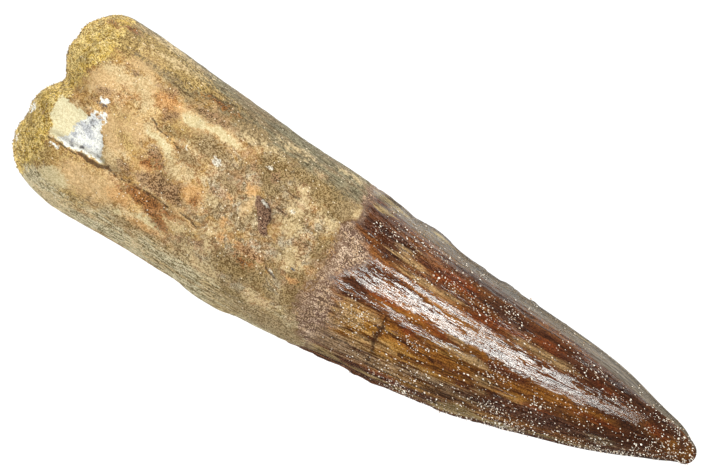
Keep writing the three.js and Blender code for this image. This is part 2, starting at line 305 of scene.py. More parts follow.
# Markings on the upper face. A spot is x, y, half-length, half-width and, where it is turned, the
# turn in degrees. An outline is the places of its corners.
SPOTS_OF = {
    "white": [
        (8.9, 2.9, 0.6, 0.4, -10), (8.6, 1.1, 0.6, 0.25), (9.9, 1.1, 0.7, 0.3, -20),
        (10.6, 0.5, 0.35, 0.3), (6.2, -5.9, 0.6, 0.2, -10), (5.6, -6.2, 0.25, 0.2), (0.5, -3, 0.4, 0.7),
        (0.7, -7.7, 0.4, 0.5), (46.4, 4.6, 0.6, 0.4, 10),
    ],
    "slate": [
        (8.9, -1.7, 1.3, 0.7, -10), (9, -0.4, 0.7, 0.5), (9.4, 0.5, 0.6, 0.3, 20),
        (7.6, -3.4, 0.4, 0.9, 10), (10.4, -3.6, 0.8, 0.3), (46, 5, 0.7, 0.3, 30),
    ],
    "gold": [
        (5.8, 12, 4, 2.4, -10), (12, 12.4, 7, 1.6, -4), (5, 8.8, 2.4, 2.2), (16.5, 11.6, 5, 1, -5),
        (4.4, -7.2, 2.8, 2.2), (19.8, 5.3, 1.8, 0.6), (7.6, -6, 3.6, 0.5), (14.2, -0.3, 1.6, 0.8, -20),
        (20.6, -1.6, 1.2, 0.4), (11.6, 2.4, 1.6, 0.5), (26.6, -7.2, 1.4, 0.5, 10),
        (10.8, -10.6, 2.4, 0.7),
    ],
    "peach": [
        (25.9, -1.9, 1.9, 1.4), (31.3, -3.4, 0.6, 0.7), (31.3, -5, 0.5, 0.4), (32.3, 2.6, 0.9, 0.8),
        (17, -7.4, 2.2, 1, -5), (16.4, 7.6, 1.6, 0.5), (17.9, 6.7, 0.8, 0.4), (21.4, -9.2, 2.4, 0.5),
    ],
    "russet": [
        (20.4, -6, 4.4, 0.9, -3), (22.2, -7, 1.8, 0.8, -5), (23.4, -7.7, 1.3, 0.8, -20),
        (19.2, -0.6, 0.8, 0.3, -30), (24.6, -8.3, 1, 0.4), (17.6, -5.7, 1.4, 0.35, -8),
        (18.3, -1.4, 1, 0.6, -20), (26.6, -2.6, 0.5, 0.7), (36.8, -6.4, 1, 0.4), (22.6, 10.6, 1.8, 0.3),
        (4.2, 12.6, 0.9, 0.4), (6.6, 13.4, 0.9, 0.35),
    ],
    "ink": [
        (9.9, 0.3, 0.25, 0.12, 20), (8.2, -1, 0.2, 0.12, -30), (10.9, -2.2, 0.2, 0.1),
        (7.9, -4.6, 0.4, 0.12), (11.9, -4, 0.2, 0.12), (7.4, -1.8, 0.3, 0.22, 30),
        (8.8, -0.3, 0.35, 0.22, 20), (9.6, -0.9, 0.22, 0.18), (9.4, -4.3, 0.35, 0.3),
        (11.4, -3.4, 0.25, 0.15), (8.2, -2.5, 0.3, 0.12, 40), (42.9, -3.7, 0.3, 0.2),
        (8.8, 2.3, 0.8, 0.18),
    ],
    # Pale quartz grains; the small spot at (33.2, 6.5) is a painted glint
    "quartz": [
        (26.3, 3.4, 0.6, 0.45, 20), (33.2, 6.5, 0.4, 0.25, 10), (25.7, 4.1, 0.25, 0.2),
        (35, 1.9, 0.7, 0.3, -30), (38.9, 3, 0.3, 0.3), (40.6, -5.9, 0.5, 0.15, -20), (21.6, 3, 0.35, 0.2),
    ],
    "cream": [
        (7.8, -9.7, 2.2, 1.1), (17.5, -9.4, 0.7, 0.4, 10), (22.6, -8.3, 2, 0.6, -5),
        (0.7, -8.6, 0.5, 0.4),
    ],
    "pale": [
        (8.6, 7.2, 2.4, 0.8), (11.6, 8.2, 1.6, 0.6), (13.9, 5.5, 1.1, 1.2), (12.6, 6.6, 1.6, 0.8, -20),
        (24.6, -8.2, 1.4, 0.4, -5), (26.3, -6.8, 1.6, 0.9, 20), (43.9, 3.9, 1.8, 0.8, 5),
        (41.8, -3.2, 1.5, 1.1), (13.5, 14.3, 5, 0.5, -4), (13.6, -3.7, 2.4, 1.3, -20),
        (31.4, -9.8, 1.6, 0.6), (40.5, -10, 1.8, 0.5), (41.5, -1.8, 1.2, 0.4), (39.4, 5, 0.9, 0.5),
        (46.5, 7.2, 0.6, 0.6), (32.4, 8.7, 1.2, 0.5, 10), (22.4, -12.1, 1.2, 0.4), (30.9, -6.8, 0.6, 1.2),
        (21.4, 3.2, 1, 0.35), (39, 3, 1.2, 0.8), (34.5, 10.5, 1.6, 0.3), (43.8, 11.3, 1.4, 0.3, -3),
        (28.8, 8.6, 1.8, 0.5, 10), (39.6, 0.9, 1.6, 1), (28, -1.5, 1, 0.7), (30.4, -5, 0.8, 1.2),
        (38.6, 6.2, 0.6, 0.5), (19, -8.8, 1.6, 0.4), (28.6, -8.6, 1, 0.6), (14, 12.3, 3, 0.4),
        (9, -12.3, 2.4, 0.5),
    ],
    "tan": [
        (11.2, -8.2, 3.6, 2.4), (13, 1, 3.2, 2.4, -10), (12, -1, 3, 1, -40), (11.5, 11.5, 2.4, 0.8, -5),
        (15.6, -7.4, 2, 1.6), (21.5, 5.3, 1.2, 0.6, 10), (33, 0.6, 0.6, 1.6, 5), (7.4, 4.9, 2.2, 1.4),
        (10.6, 9.6, 2, 0.8), (25.6, -5.2, 1.2, 0.6),
    ],
    "rust": [
        (16.2, 7.2, 1.7, 1.5), (26.2, -6, 1.6, 0.6, 5), (36, -4.9, 2.8, 0.6, -5), (30.5, 0.2, 0.6, 0.5),
        (32.2, -5.2, 0.9, 0.4), (43.6, -5.4, 0.9, 0.5), (18.6, -2, 1, 0.8),
    ],
    "umber": [
        (8.6, 4.1, 0.9, 0.4, 10), (17.6, 5.8, 1.2, 0.8, 20), (18.8, -0.1, 1.9, 0.8, -25),
        (16, -3.6, 1.4, 0.6, -5), (27.7, 5.8, 0.6, 0.3), (31.1, 5.5, 0.5, 0.3), (30, -7.4, 0.5, 1, 10),
        (26.7, -8.3, 0.6, 0.4), (34.5, 5.8, 0.7, 0.8, 10), (37.4, 2.3, 0.8, 0.25, 5),
        (2.5, -2.4, 0.5, 0.7, 20), (7.4, 13.4, 0.8, 0.35), (10.6, 8.5, 0.8, 0.4), (8.2, 2.3, 1.1, 0.35),
        (28.4, -0.2, 0.8, 0.4, -10), (36.8, -5, 2.2, 0.55, -5), (35.2, -5.7, 0.4, 0.4),
        (42.2, -0.3, 0.6, 0.5), (15.8, 8.5, 1.2, 0.4), (22.6, 8.6, 2.2, 0.5),
    ],
    "olive": [
        (44.6, 0.2, 0.9, 2.2), (43.8, -5, 1.4, 1.6), (41, -2.6, 1.6, 0.8), (36.6, -7.8, 5.4, 1.8),
        (42, 7, 3.6, 1.6), (38, 7.8, 3, 1), (44.4, -6.8, 1.5, 2.2), (40, -5.2, 2, 0.6, -10),
        (36.6, -6, 2.4, 0.8), (19, 4.1, 2.2, 0.6), (33.8, 6.8, 2.8, 2.2), (7.6, 10.2, 1.4, 0.5),
        (37.4, -11.2, 2.4, 0.7), (43.6, 5.4, 1.8, 0.9), (39.6, 1.6, 1.8, 1.2, 20),
        (20.8, 11.6, 5, 0.7, -3), (24, 10.3, 4, 0.4, -3), (34.4, 4.2, 1.4, 0.9), (37.4, 5.4, 1.2, 0.6),
        (17, 9.6, 3, 0.5, -3),
    ],
    "grey": [
        (24.6, 4.8, 3.4, 1.3, -5), (22.2, 2, 1.6, 0.9), (4.3, 7.8, 1.3, 1.4), (28.4, -1.6, 2, 0.9),
        (25.4, -3.6, 1.2, 0.6), (28.8, 9.6, 2.2, 1.2), (29.5, 1.6, 1.6, 0.7, -20),
        (41.4, -5.8, 1.2, 0.5, -20), (28, -8.8, 1.6, 0.8), (20, -10, 3, 0.6), (45, 6.4, 1.6, 1.4),
        (34.4, 0.2, 0.8, 1.2), (44, -12, 5.5, 1.4), (22.4, 8.6, 2.6, 0.9), (40.8, 3.8, 1.2, 0.7),
    ],
    "honey": [
        (68, -8.5, 5, 0.35, 6), (73, -7.3, 3, 0.3, 10), (60, -9.4, 3, 0.5, 4), (54, -5.6, 3.4, 1.7),
        (60, -6.4, 3, 0.7, 4), (58.6, -4.6, 1.6, 0.5), (66, -6.9, 3, 0.4, 6), (52, -7.6, 3, 0.7),
        (60, -8.1, 3.5, 0.5, 4), (66.6, -3.2, 2.6, 0.4, 2), (78.6, -3.7, 1.6, 0.4, 6),
        (62, -9.8, 4, 0.4, 4),
    ],
    "amber": [
        (54, -4.4, 3, 1.4), (59, -3.9, 4, 0.8), (67.5, -2.9, 5.5, 0.5, 1), (67, -4.1, 6.5, 0.6, 3),
        (64, -5.7, 4.5, 0.6, 6), (58.5, -5.8, 3, 0.9, 5), (60, -1.3, 6, 0.5), (71, -0.8, 3.5, 0.5, 1),
        (60, 1.6, 6, 0.3), (76, -4.2, 3, 0.4, 4), (68.5, -1.1, 2.5, 0.5), (52, -7.9, 2.6, 0.6),
        (58, -7.2, 2, 0.5, 8), (65, 3.4, 2, 0.4), (79, -3.2, 3.6, 0.6, 6), (78.2, -2.1, 3.2, 0.5, 3),
        (70.5, -5.2, 2, 0.4, 5), (85, -2.2, 3.5, 0.5, 6), (85, -0.9, 4.5, 0.5, 3),
        (82, -1.2, 2.4, 0.6, 3), (90, 0.2, 4.5, 0.5, 8), (97, 1.4, 3, 0.5, 5), (88, -4.9, 3, 0.4, 16),
        (80, -6.9, 2.6, 0.4, 14), (76, -8.4, 2.4, 0.5, 12), (100.6, 2.2, 0.9, 0.7),
        (101.5, 1.2, 1.6, 0.35, 5), (103.4, 2.6, 0.6, 0.8),
    ],
    "red": [
        (63.5, 6.2, 3, 0.8), (61, 5.4, 2, 0.4), (68.5, 3.4, 3.2, 0.3, -2), (74, 4.2, 3, 0.35, -2),
        (60.8, -3.2, 1.4, 0.6), (54.5, -1, 2.6, 0.4), (65.5, -1.2, 2.4, 0.4), (70, 4, 2.4, 0.5),
        (79, 5, 3, 0.6, -3), (87, 4, 5, 0.5, -5), (98, 2.4, 1.6, 0.8, -8), (75, -1.3, 2.4, 0.4, 2),
        (61.8, -10.6, 3, 0.4, 3), (90, -0.6, 4, 0.4, 6), (82, -3.4, 2, 0.4, 8),
    ],
    "mahogany": [
        (51.6, -3, 2.2, 0.45), (57.5, -5.6, 0.5, 2.4), (84, 4.4, 4, 0.7, -5), (90.5, 5, 5, 0.7, -8),
        (95, 1, 4, 0.9), (75, -1.5, 2.2, 0.35, 2), (85, -2.2, 3, 0.35, 4), (52, 7.2, 4.6, 0.8, -4),
        (53.6, 5, 2.2, 1), (49, 6.3, 1.6, 0.6), (50, 8.9, 3.6, 0.6, -3), (52, 1, 2, 1.4),
        (72, 6, 4, 1, -5), (66.5, 7.9, 6, 0.5, -2), (51.6, -1.5, 2.4, 0.9, -8), (54, -2.8, 2, 0.3),
        (75, -6.4, 4, 0.8, 10), (73.5, -6.7, 1.6, 0.5, 8), (70, -8.2, 3, 0.4, 8), (84, -4.4, 5, 0.8, 15),
        (91.5, -2.4, 4, 0.8, 20), (86, 5.2, 4, 0.5, -8), (95, 4.2, 4, 0.6, -15),
        (76.5, -4.9, 2.6, 0.3, 8), (91, -1.6, 4, 0.4, 12), (83, -2.8, 2, 0.25, 4), (95, -1, 3, 0.8, 15),
        (97, 0.6, 3, 0.7, 5), (99, 3.8, 3.4, 0.5, -18), (88, 2.8, 4, 0.4),
    ],
    # Khaki stains; the one at (78.5, 3.7) is a painted sheen along the upper edge of the highlight
    "khaki": [
        (52.6, -5.6, 2.2, 1.3), (51, -7.4, 2.4, 0.8), (56, -7, 2, 0.4, 4), (55, 6.3, 1.8, 0.6, -2),
        (56.5, 5.2, 2.6, 0.4), (73.4, -5.3, 1.4, 0.35, 5), (55.5, -4, 1.6, 0.6), (78.5, 3.7, 4, 0.5),
        (70.4, -2.2, 1.8, 0.6), (67.6, -0.9, 1.6, 0.5), (58.8, -6.8, 2.2, 0.5, 4), (66.8, -2.4, 1.8, 0.4),
        (58.5, 3.9, 2, 0.3), (73.5, -3.9, 1.6, 0.5, 4), (52.6, -3.9, 1.6, 0.35), (63.5, 3.9, 2, 0.3),
        (55.6, -8.2, 2, 0.5, 3),
    ],
    "silt": [
        (50, 11.2, 4.5, 0.4, -4), (49.6, 9.8, 2, 0.5, -3), (58.5, 10.5, 2.4, 0.35, -2),
        (63, 10, 1.4, 0.2, -4), (82, 8.6, 1.2, 0.2, -4), (51, -12.4, 5, 0.9, 4),
        (64.6, -11.2, 2.4, 0.5, 6), (59.5, -11.3, 3, 0.4, 4), (72.2, -9.9, 4, 1.2, 13),
        (78.2, -8.5, 3.2, 0.6, 16), (86, -6.1, 3, 0.2, 18),
    ],
    # Grey-brown zones on the crown's mesial part: partly their own colour and partly a painted reflection
    # of the table
    "dusky_sheen": [
        (52, -9.8, 3.6, 1.4), (66, -7.7, 6, 0.6, 7), (56, -9.6, 6, 0.8, 3), (49, -10, 2.5, 1.2),
        (91.8, -2.8, 1.2, 0.4, 12),
    ],
}
OUTLINES_OF = {
    "white": [
        (8.4, 0.4, 9.4, 0.5, 10.2, 0.2, 10.4, -0.6, 11, -1.4, 11.6, -2.4, 12.2, -3.4, 12.5, -4.6, 10.6,
         -4.7, 9.3, -4.9, 8.2, -4.9, 7, -5.1, 5.4, -5.1, 6.6, -4.2, 7.4, -2.9, 7.6, -1.4, 7.9, -0.2),
    ],
    "chip": [
        (3.3, 0.8, 5, 0.3, 7.4, 0.2, 9, -1, 12.2, -3.8, 13.2, -4.1, 12.6, -4.7, 9.6, -4.9, 7.5, -5.2, 5.4,
         -5.3, 4.6, -4.8, 4.2, -3.5, 3.5, -2, 3.2, -0.8),
    ],
    "cream": [
        (18.8, 6.6, 19.6, 7.6, 20.9, 7.9, 22.1, 7.3, 23.3, 7.2, 24.2, 7.9, 25.6, 7.7, 27, 7.3, 28.6, 6.9,
         27.6, 6.4, 26, 6.5, 24.2, 6.6, 22.4, 6.5, 21.5, 5.9, 20.4, 5.5, 19.4, 5.9),
        (15.8, 2.9, 17.4, 2.6, 18.8, 2.2, 19.8, 1.6, 20.6, 0.7, 20, 0.6, 18.8, 1.4, 17.2, 1.8, 16, 2.2),
    ],
    "tan": [
        (5.6, 6.3, 6.2, 7.8, 8.5, 7.5, 10.5, 8.2, 12.5, 9.4, 14.8, 8.6, 14.2, 7, 13, 6, 11.5, 5.6, 9.8,
         6.4, 8, 5.2, 6.6, 4.8),
        (17.8, 7.4, 20.5, 8.3, 24, 8.2, 27.5, 7.8, 29, 7, 27.5, 6.3, 24, 6.3, 21.5, 5.4, 20, 4.9, 18.4,
         5.6),
    ],
    "pale": [
        (15.2, 3.2, 16.3, 3.3, 17.6, 2.9, 19, 2.5, 20.2, 1.8, 21, 0.9, 22.5, 0.6, 24, 0.9, 24.6, 0.2,
         23.8, -0.7, 22.6, -1.2, 21.4, -1.5, 20.4, -0.7, 19.6, 0.4, 18.4, 1.2, 17, 1.5, 15.6, 2.3),
        (43.2, 4.6, 44.6, 4.9, 45.4, 4.4, 45, 3.2, 43.6, 3.2, 42.6, 3.8),
    ],
    "umber": [
        (18, -2.8, 20.2, -1.6, 22.2, -2, 23.8, -1.3, 24.6, -2.6, 25.4, -3.6, 24.6, -4.6, 21.6, -4.9, 19.6,
         -4.7, 17.8, -4.1),
    ],
    "pit": [
        (33.2, 2.4, 34.1, 2.6, 35.4, 2.3, 36.3, 1.6, 36.5, 0.6, 37, -0.6, 37.6, -1.6, 36.8, -2.2, 35.8,
         -1.1, 35, -0.3, 34.2, 0.6, 33.6, 1.4),
    ],
}

# Cracks and dark grooves on the upper face, and a painted shadow line under the crust's edge: width, then
# the places along it
STROKES = [
    (0.28, (4.6, -5.25, 6, -5.4, 8, -5.35, 9.6, -5.3)),
    (0.5, (9.4, -5.25, 11, -5.2, 12.6, -5.05, 13.7, -4.9)),
    (0.22, (13.6, -4.95, 16, -5.15, 20, -5.05, 24, -5.4)),
    (0.2, (15.2, 4.3, 16.5, 3.7, 17.8, 3.15, 19.5, 2.95, 20.8, 2.3)),
    (0.2, (36.4, 4.9, 37.6, 4.7, 38.8, 5)), (0.25, (36.8, 2.3, 38.1, 2.1)),
    (0.25, (25.8, -5.1, 27.4, -5.3, 28.8, -6.1)),
    (0.25, (38.9, -5.1, 39.6, -5.7, 40.4, -6.1, 41.3, -6.2)), (0.15, (20, 10.9, 22, 11, 24.5, 11.4)),
    (0.12, (15, 10, 18, 9.5, 22, 9.4)),
    # This stroke along the crust's edge is cut in, and its dark colour is painted shadow of the crust's
    # raised edge
    (0.35, (45.3, 4.6, 45.7, 5.3, 46.6, 5.9, 47.4, 6.3, 47.5, 7.8, 46.9, 8.6)),
    (0.45, (57.2, -2.8, 57.3, -4.4, 57.5, -5.5, 57.5, -7, 57.9, -8.2, 58.2, -9.5)),
    (0.25, (71.3, -1.7, 71.2, -3.3)), (0.3, (72.1, -4.8, 72.2, -6)),
    (0.22, (56, -4.8, 58, -4.6, 60.5, -4.9, 63, -4.95, 66, -5.1)),
    (0.22, (61, -6.7, 64, -6.2, 67, -5.5, 70, -5.1, 73, -4.8, 77, -4.6)),
    (0.15, (66, -3.3, 70, -3.2, 73, -3.6, 76, -3.4, 79, -2.6)), (0.15, (50, -6.2, 53, -6, 56, -6.1)),
    (0.18, (46, -7.9, 50, -7.8, 54, -7.4, 57, -7)), (0.2, (51, -9.3, 56, -8.9, 60, -8.2, 63, -7.7)),
    (0.22, (58, -10.1, 62, -9.8, 67, -9.2, 71, -8.4)), (0.3, (47.6, 7.7, 50, 7.3, 53, 6.9, 56, 6.9)),
    (0.2, (49, 5.6, 52, 5.8, 55, 6.3)), (0.2, (59, 8.3, 64, 8.1, 70, 7.7, 75, 7.2)),
    (0.2, (60, 6.6, 63, 6.4, 66, 6, 70, 5.6)), (0.15, (52, 8.7, 57, 8.4, 61, 7.8)),
    (0.2, (78, 6, 82, 5.9, 86, 5.6)), (0.2, (84, 3.6, 88, 3.5, 93, 3.6)),
    (0.2, (88, -1.4, 92, -0.8, 96, 0.2)), (0.2, (80, -4, 84, -3.4, 88, -2.4)),
]

# Lengthwise bands of the upper face whose enamel is too worn to shine: width, then places
MATTE_BANDS = [
    (0.4, (54, 1.5, 60, 1.6, 66, 1.7, 69, 1.7)), (0.5, (60.5, -0.4, 65.5, -0.4)),
    (0.6, (84, 2.3, 92, 2.6)), (1.2, (50, -1.3, 56, -1.3, 62, -1.3, 68, -1.1, 75, -0.9)),
    (0.8, (60, -1.6, 66, -1.5, 72, -1.3)), (3.4, (50.5, -6, 58, -6.2, 66, -5.6, 74, -4.6)),
    (1.6, (48, 5.2, 54, 5, 62, 5.6, 70, 4.8)), (1.3, (50, 3.9, 58, 3.7, 64, 3.7, 70, 3.6)),
    (1.3, (71, 3.5, 76, 3.4, 82, 3.5, 88, 3.7)), (0.8, (84, 3, 90, 3.4, 96, 3.6)),
    (1.6, (76, 4.6, 84, 4.4, 92, 4.4, 98, 4.4)), (0.35, (60, 0.9, 64, 0.9, 68, 0.7)),
    (0.3, (76, 1.5, 80, 1.3, 85, 1.4)), (1.9, (48, -3.5, 56, -3.5, 66, -3.4, 72, -3)),
    (3.2, (72, -2.4, 76, -2.1, 84, -1.6, 90, -0.9, 96, 0.2)), (1.6, (88, 0.2, 93, 0.8, 98, 1.4)),
    (4.4, (97, 2, 101, 2.2, 105, 2.2)), (0.5, (49, -0.7, 52, -0.7)), (0.5, (57, 2, 61, 1.9)),
    (0.9, (52.5, 2, 55, 2.1, 58, 2.1)), (0.3, (50, 1.3, 53.5, 1.2)), (0.3, (50, 0.5, 53, 0.5)),
    (0.3, (50.5, -0.2, 53, -0.2)), (0.7, (73, 2.5, 80, 2.3)), (0.4, (50, -1.95, 56, -1.95)),
    (1.8, (65, 6.9, 74, 6.3, 82, 5.8)), (0.5, (51.5, 1.9, 53.5, 1.9)), (0.4, (49.5, -2.3, 51.8, -2.3)),
]

# Lengthwise bands of the upper face that shine most: width, then places
POLISHED_BANDS = [
    (1.4, (60, 0.2, 68, 0.4, 76, 0.8, 84, 1.3, 88, 1.7)), (0.7, (55, 2.5, 62, 2.6, 73, 2.4)),
    (0.45, (55, -2.1, 62, -2.4, 72, -2)),
]

# Where the root's crust ends and where the dark, glossy enamel begins on the upper face, at each Y,
# and over how many mm each of the two changes takes place
EDGE_Y = np.array([-13, -12, -10, -8, -6, -4, -2, 0, 3, 4.8, 5.7, 6.3, 7.0, 8.0, 9.0, 11.0, 13.0])
CRUST_END = np.array(
    [50, 49, 47, 45.8, 45.2, 46.2, 46, 46, 45.6, 45.3, 46.1, 47.2, 47.4, 47.1, 46.1, 46, 46.3]
)
GLOSS_START = np.array(
    [50, 49.5, 49.5, 50.2, 50.8, 49.2, 47.9, 49.4, 51.4, 48.4, 47.3, 47.3, 47.5, 47.2, 46.9, 47, 47.2]
)
GLOSS_FADE = np.array([2.0, 2.0, 2.0, 2.4, 2.4, 2.0, 1.2, 1, 1, 1, 1, 1, 1, 1, 1, 1, 1])
CRUST_FADE = np.array([1.4, 1.6, 2.4, 3.2, 3.2, 3.0, 3.0, 2.6, 2.0, 1.2, 1, 1, 1, 1, 1.4, 1.6, 1.6])
BARE_WIDTH = 2.6  # the worn rim between the two, where it isn't on the upper face

# What a field says far from everything that is placed, in mm
FAR_FROM_MARKINGS = -3.0
FAR_FROM_STROKES = -1.0
LONGEST_FADE = 1.2
DARK_FACE_SHARE = 0.68


def inside(x, y, outline):
    """How far inside the outline each point is, in mm, and below 0 outside."""
    corners = np.array(outline).reshape(-1, 2)
    distance = np.full(x.shape, 1e9)
    winding = np.zeros(x.shape, bool)
    for a, b in zip(corners, np.roll(corners, -1, axis=0)):
        distance = np.minimum(distance, to_segment(x, y, a, b))
        crossing = (a[1] > y) != (b[1] > y)
        height = b[1] - a[1] if b[1] != a[1] else 1.0
        winding ^= crossing & (x < a[0] + (y - a[1]) / height * (b[0] - a[0]))
    return np.where(winding, distance, -distance)


def to_segment(x, y, a, b):
    """Each point's distance to the straight line from a to b."""
    along = b - a
    t = ((x - a[0]) * along[0] + (y - a[1]) * along[1]) / (along @ along)
    t = np.clip(t, 0, 1)
    return np.hypot(x - a[0] - t * along[0], y - a[1] - t * along[1])


def marking(name, x, y):
    """How far inside the nearest marking of this name each point is, in mm."""
    field = np.full(x.shape, FAR_FROM_MARKINGS)
    for spot in SPOTS_OF.get(name, []):
        along, across = ellipse(x, y, *spot)
        fade = min(spot[2], spot[3], LONGEST_FADE)
        field = np.maximum(field, (1 - np.hypot(along, across)) * fade)
    for outline in OUTLINES_OF.get(name, []):
        field = np.maximum(field, inside(x, y, outline))
    return field


def along_strokes(strokes, x, y):
    """How far inside the nearest stroke each point is, in mm."""
    field = np.full(x.shape, FAR_FROM_STROKES)
    for width, places in strokes:
        places = np.array(places).reshape(-1, 2)
        for a, b in zip(places, places[1:]):
            field = np.maximum(field, width / 2 - to_segment(x, y, a, b))
    return field


def surface_fields(points, angle, x):
    """Named fields, one value a point, that the material reads."""
    upper = smooth(np.sin(angle), -0.05, 0.25) * np.ones_like(x)
    cloud = fractal(points, 9, 3)
    fine = fractal(points, 2.2, 3, shift=7.1)
    finest = fractal(points, 0.9, 2, shift=12.3)
    other = fractal(points, 2.2, 3, shift=27.9)
    # What is placed gets uneven edges, because the places themselves are a little uneven.
    place_x = points[..., 0] + 0.45 * fine + 0.15 * finest
    place_y = points[..., 1] + 0.25 * other + 0.12 * finest * (1 - smooth(x, 44, 50))

    edge = enamel_edge(angle) + 0.9 * fine + 1.2 * cloud
    upper_enamel = place_x - np.interp(place_y, EDGE_Y, CRUST_END)
    upper_enamel /= np.interp(place_y, EDGE_Y, CRUST_FADE)
    enamel = mixed(x - edge, upper_enamel, upper)
    upper_gloss = place_x - np.interp(place_y, EDGE_Y, GLOSS_START)
    upper_gloss /= np.where(upper_gloss > 0, np.interp(place_y, EDGE_Y, GLOSS_FADE), 1)
    bare_width = BARE_WIDTH + 2.4 * fractal(points, 6, 3, shift=31.3)
    gloss = mixed((x - edge - bare_width) / 1.8, upper_gloss, upper)

    # The sandy crust at the root's end reaches furthest on the distal lobe, and least at the chip.
    rim = 2.2 + 2.4 * upper + 2.6 * smooth(place_y, 5, 9) * upper + 1.4 * cloud
    rim -= 1.6 * upper * bell((place_y + 0.6) / 1.6)
    fields = {
        "enamel": enamel,
        "gloss": gloss,
        "crust": np.clip(rim - place_x, -3, 3),
    }
    for name, strokes in (("groove", STROKES), ("matte", MATTE_BANDS), ("polish", POLISHED_BANDS)):
        fields[name] = mixed(FAR_FROM_STROKES, along_strokes(strokes, place_x, place_y), upper)
    # The underside has markings of the same kinds at random, and fewer near the sides.
    low = smooth(np.sin(angle) + 0.5 * cloud, -0.1, -0.8)
    for number, name in enumerate(MARKINGS):
        stretch = np.array([2.5, 1, 1]) if name in CROWN_MARKINGS else np.array([1.5, 1, 1])
        hidden = 2.2 * fractal(points / stretch, 5.5, 4, shift=11.7 * number) - 1.0 - 0.9 * (1 - low)
        if name in RARE_MARKINGS:
            hidden -= 1.6
        fields[name] = mixed(hidden, marking(name, place_x, place_y), upper)
    return fields


# ---- the fine relief

# How far it stands out or is cut in, in mm
ROOT_BUMPS = 0.10
FLATTER_SIDES = 0.05
SMALL_BUMPS = 0.05
PIT_DEPTH = 0.16
FIBRE_HEIGHT = 0.07
GRAINY_SKIN = 0.09
CHIP_DEPTH = 0.14
DARK_STAIN_DEPTH = 0.16
GOUGE_DEPTH = 0.12
RIDGE_HEIGHT = 0.030
FLUTING_HEIGHT = 0.022
WORN_ENAMEL_GRAIN = 0.03
POLISHED_AWAY = 0.022
CRUST_STEP = 0.14
CRACK_DEPTH = 0.12
TIP_FULLNESS = 0.14
SANDY_EDGE_RISE = 0.22
TIP_LEAN = 0.3


def fine_relief(points, angle, x, fields):
    """How far each point stands out from the solid's form, in mm."""
    root = 1 - smooth(fields["enamel"], -0.2, 0.5)
    glaze = 1 - root
    polished = smooth(fields["gloss"], -1.0, 1.0)
    fibres = lengthwise(angle, x) / np.array([14, 1, 1])
    # Root: worn, pitted bone with a grainy skin. Its sides are streaked lengthwise.
    smooth_chip = smooth(np.maximum(fields["white"], fields["chip"]), -0.1, 0.3)
    rough = 1 - 0.7 * smooth_chip
    side = smooth(np.abs(np.cos(angle)) * np.ones_like(x), 0.7, 0.95)
    bumps = (ROOT_BUMPS - FLATTER_SIDES * side) * fractal(points, 3.0, 4, shift=3.3)
    bumps += SMALL_BUMPS * fractal(points, 0.9, 2, shift=6.1)
    pits = -PIT_DEPTH * smooth(fractal(points, 1.5, 3, shift=5.7), 0.25, 0.7) * (1 - side)
    streaks = FIBRE_HEIGHT * fractal(fibres, 1.0, 3, shift=9.1) * (0.35 + side)
    grainy = GRAINY_SKIN * fractal(points, 0.75, 2, shift=13.0) * smooth(fields["crust"], -0.5, 0.5)
    height = root * rough * (bumps + pits + streaks + grainy)
    height -= CHIP_DEPTH * smooth_chip * root
    dark = np.maximum(fields["umber"], fields["pit"])
    height -= DARK_STAIN_DEPTH * smooth(dark, -0.1, 0.4) * root
    height -= GOUGE_DEPTH * smooth(fields["pit"], -0.1, 0.3) * root

    # Crown: ridges of uneven strength, which fade towards the tip.
    strength = 0.55 + 0.6 * fractal(fibres, 3.0, 2, shift=17.0)
    wander = 0.5 * fractal(fibres, 5.0, 2, shift=19.0)
    ridges = RIDGE_HEIGHT * strength * np.cos(RIDGE_COUNT * (angle + 0.03 * wander))
    fluting = FLUTING_HEIGHT * fractal(fibres, 0.9, 2, shift=21.0)
    height += polished * (1 - smooth(x, 80, 100)) * (ridges + fluting)
    grain = WORN_ENAMEL_GRAIN - POLISHED_AWAY * polished
    height += glaze * grain * fractal(points, 0.8, 2, shift=29.0)

    # The crust's edge steps down to the enamel, and cracks are cut in both.
    height -= CRUST_STEP * smooth(fields["enamel"], -0.3, 0.3)
    height -= CRACK_DEPTH * smooth(fields["groove"], -0.15, 0.1) * (0.4 + 0.6 * root)

    # The taper to the tip is a little full.
    height += TIP_FULLNESS * bell((x - 100.6) / 1.8) - TIP_FULLNESS * smooth(x, 102, 104)

    # Sandy crust along the edges of the crown.
    edge = np.minimum(turned(angle, 0), turned(angle, math.pi)) * np.ones_like(x)
    sandy = smooth(fractal(points, 2.6, 3, shift=37.0), -0.1, 0.5)
    height += glaze * SANDY_EDGE_RISE * sandy * bell(edge / 0.10) * (1 - smooth(x, 72, 84))
    return height


# ---- meshes


def to_frame(points):
    """Points of the tooth, in mm, as metres in the frame."""
    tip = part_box("tooth")[1]
    origin = np.array([tip.x * 1000 - LENGTH, -MIDDLE_Y, 0])
    return (points + origin) / 1000


def new_piece(name, points, faces, material, smooth_faces=True):
    mesh = bpy.data.meshes.new(name)
    mesh.from_pydata(points.tolist(), [], faces)
    mesh.polygons.foreach_set("use_smooth", [smooth_faces] * len(mesh.polygons))
    mesh.materials.append(material)
    piece = bpy.data.objects.new(name, mesh)
    bpy.context.scene.collection.objects.link(piece)
    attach(piece, "root")
    return piece


def add_field(mesh, name, values):
    mesh.attributes.new(name, "FLOAT", "POINT").data.foreach_set("value", values.astype(np.float32))


def add_vectors(mesh, name, values):
    data = mesh.attributes.new(name, "FLOAT_VECTOR", "POINT").data
    data.foreach_set("vector", values.astype(np.float32).ravel())


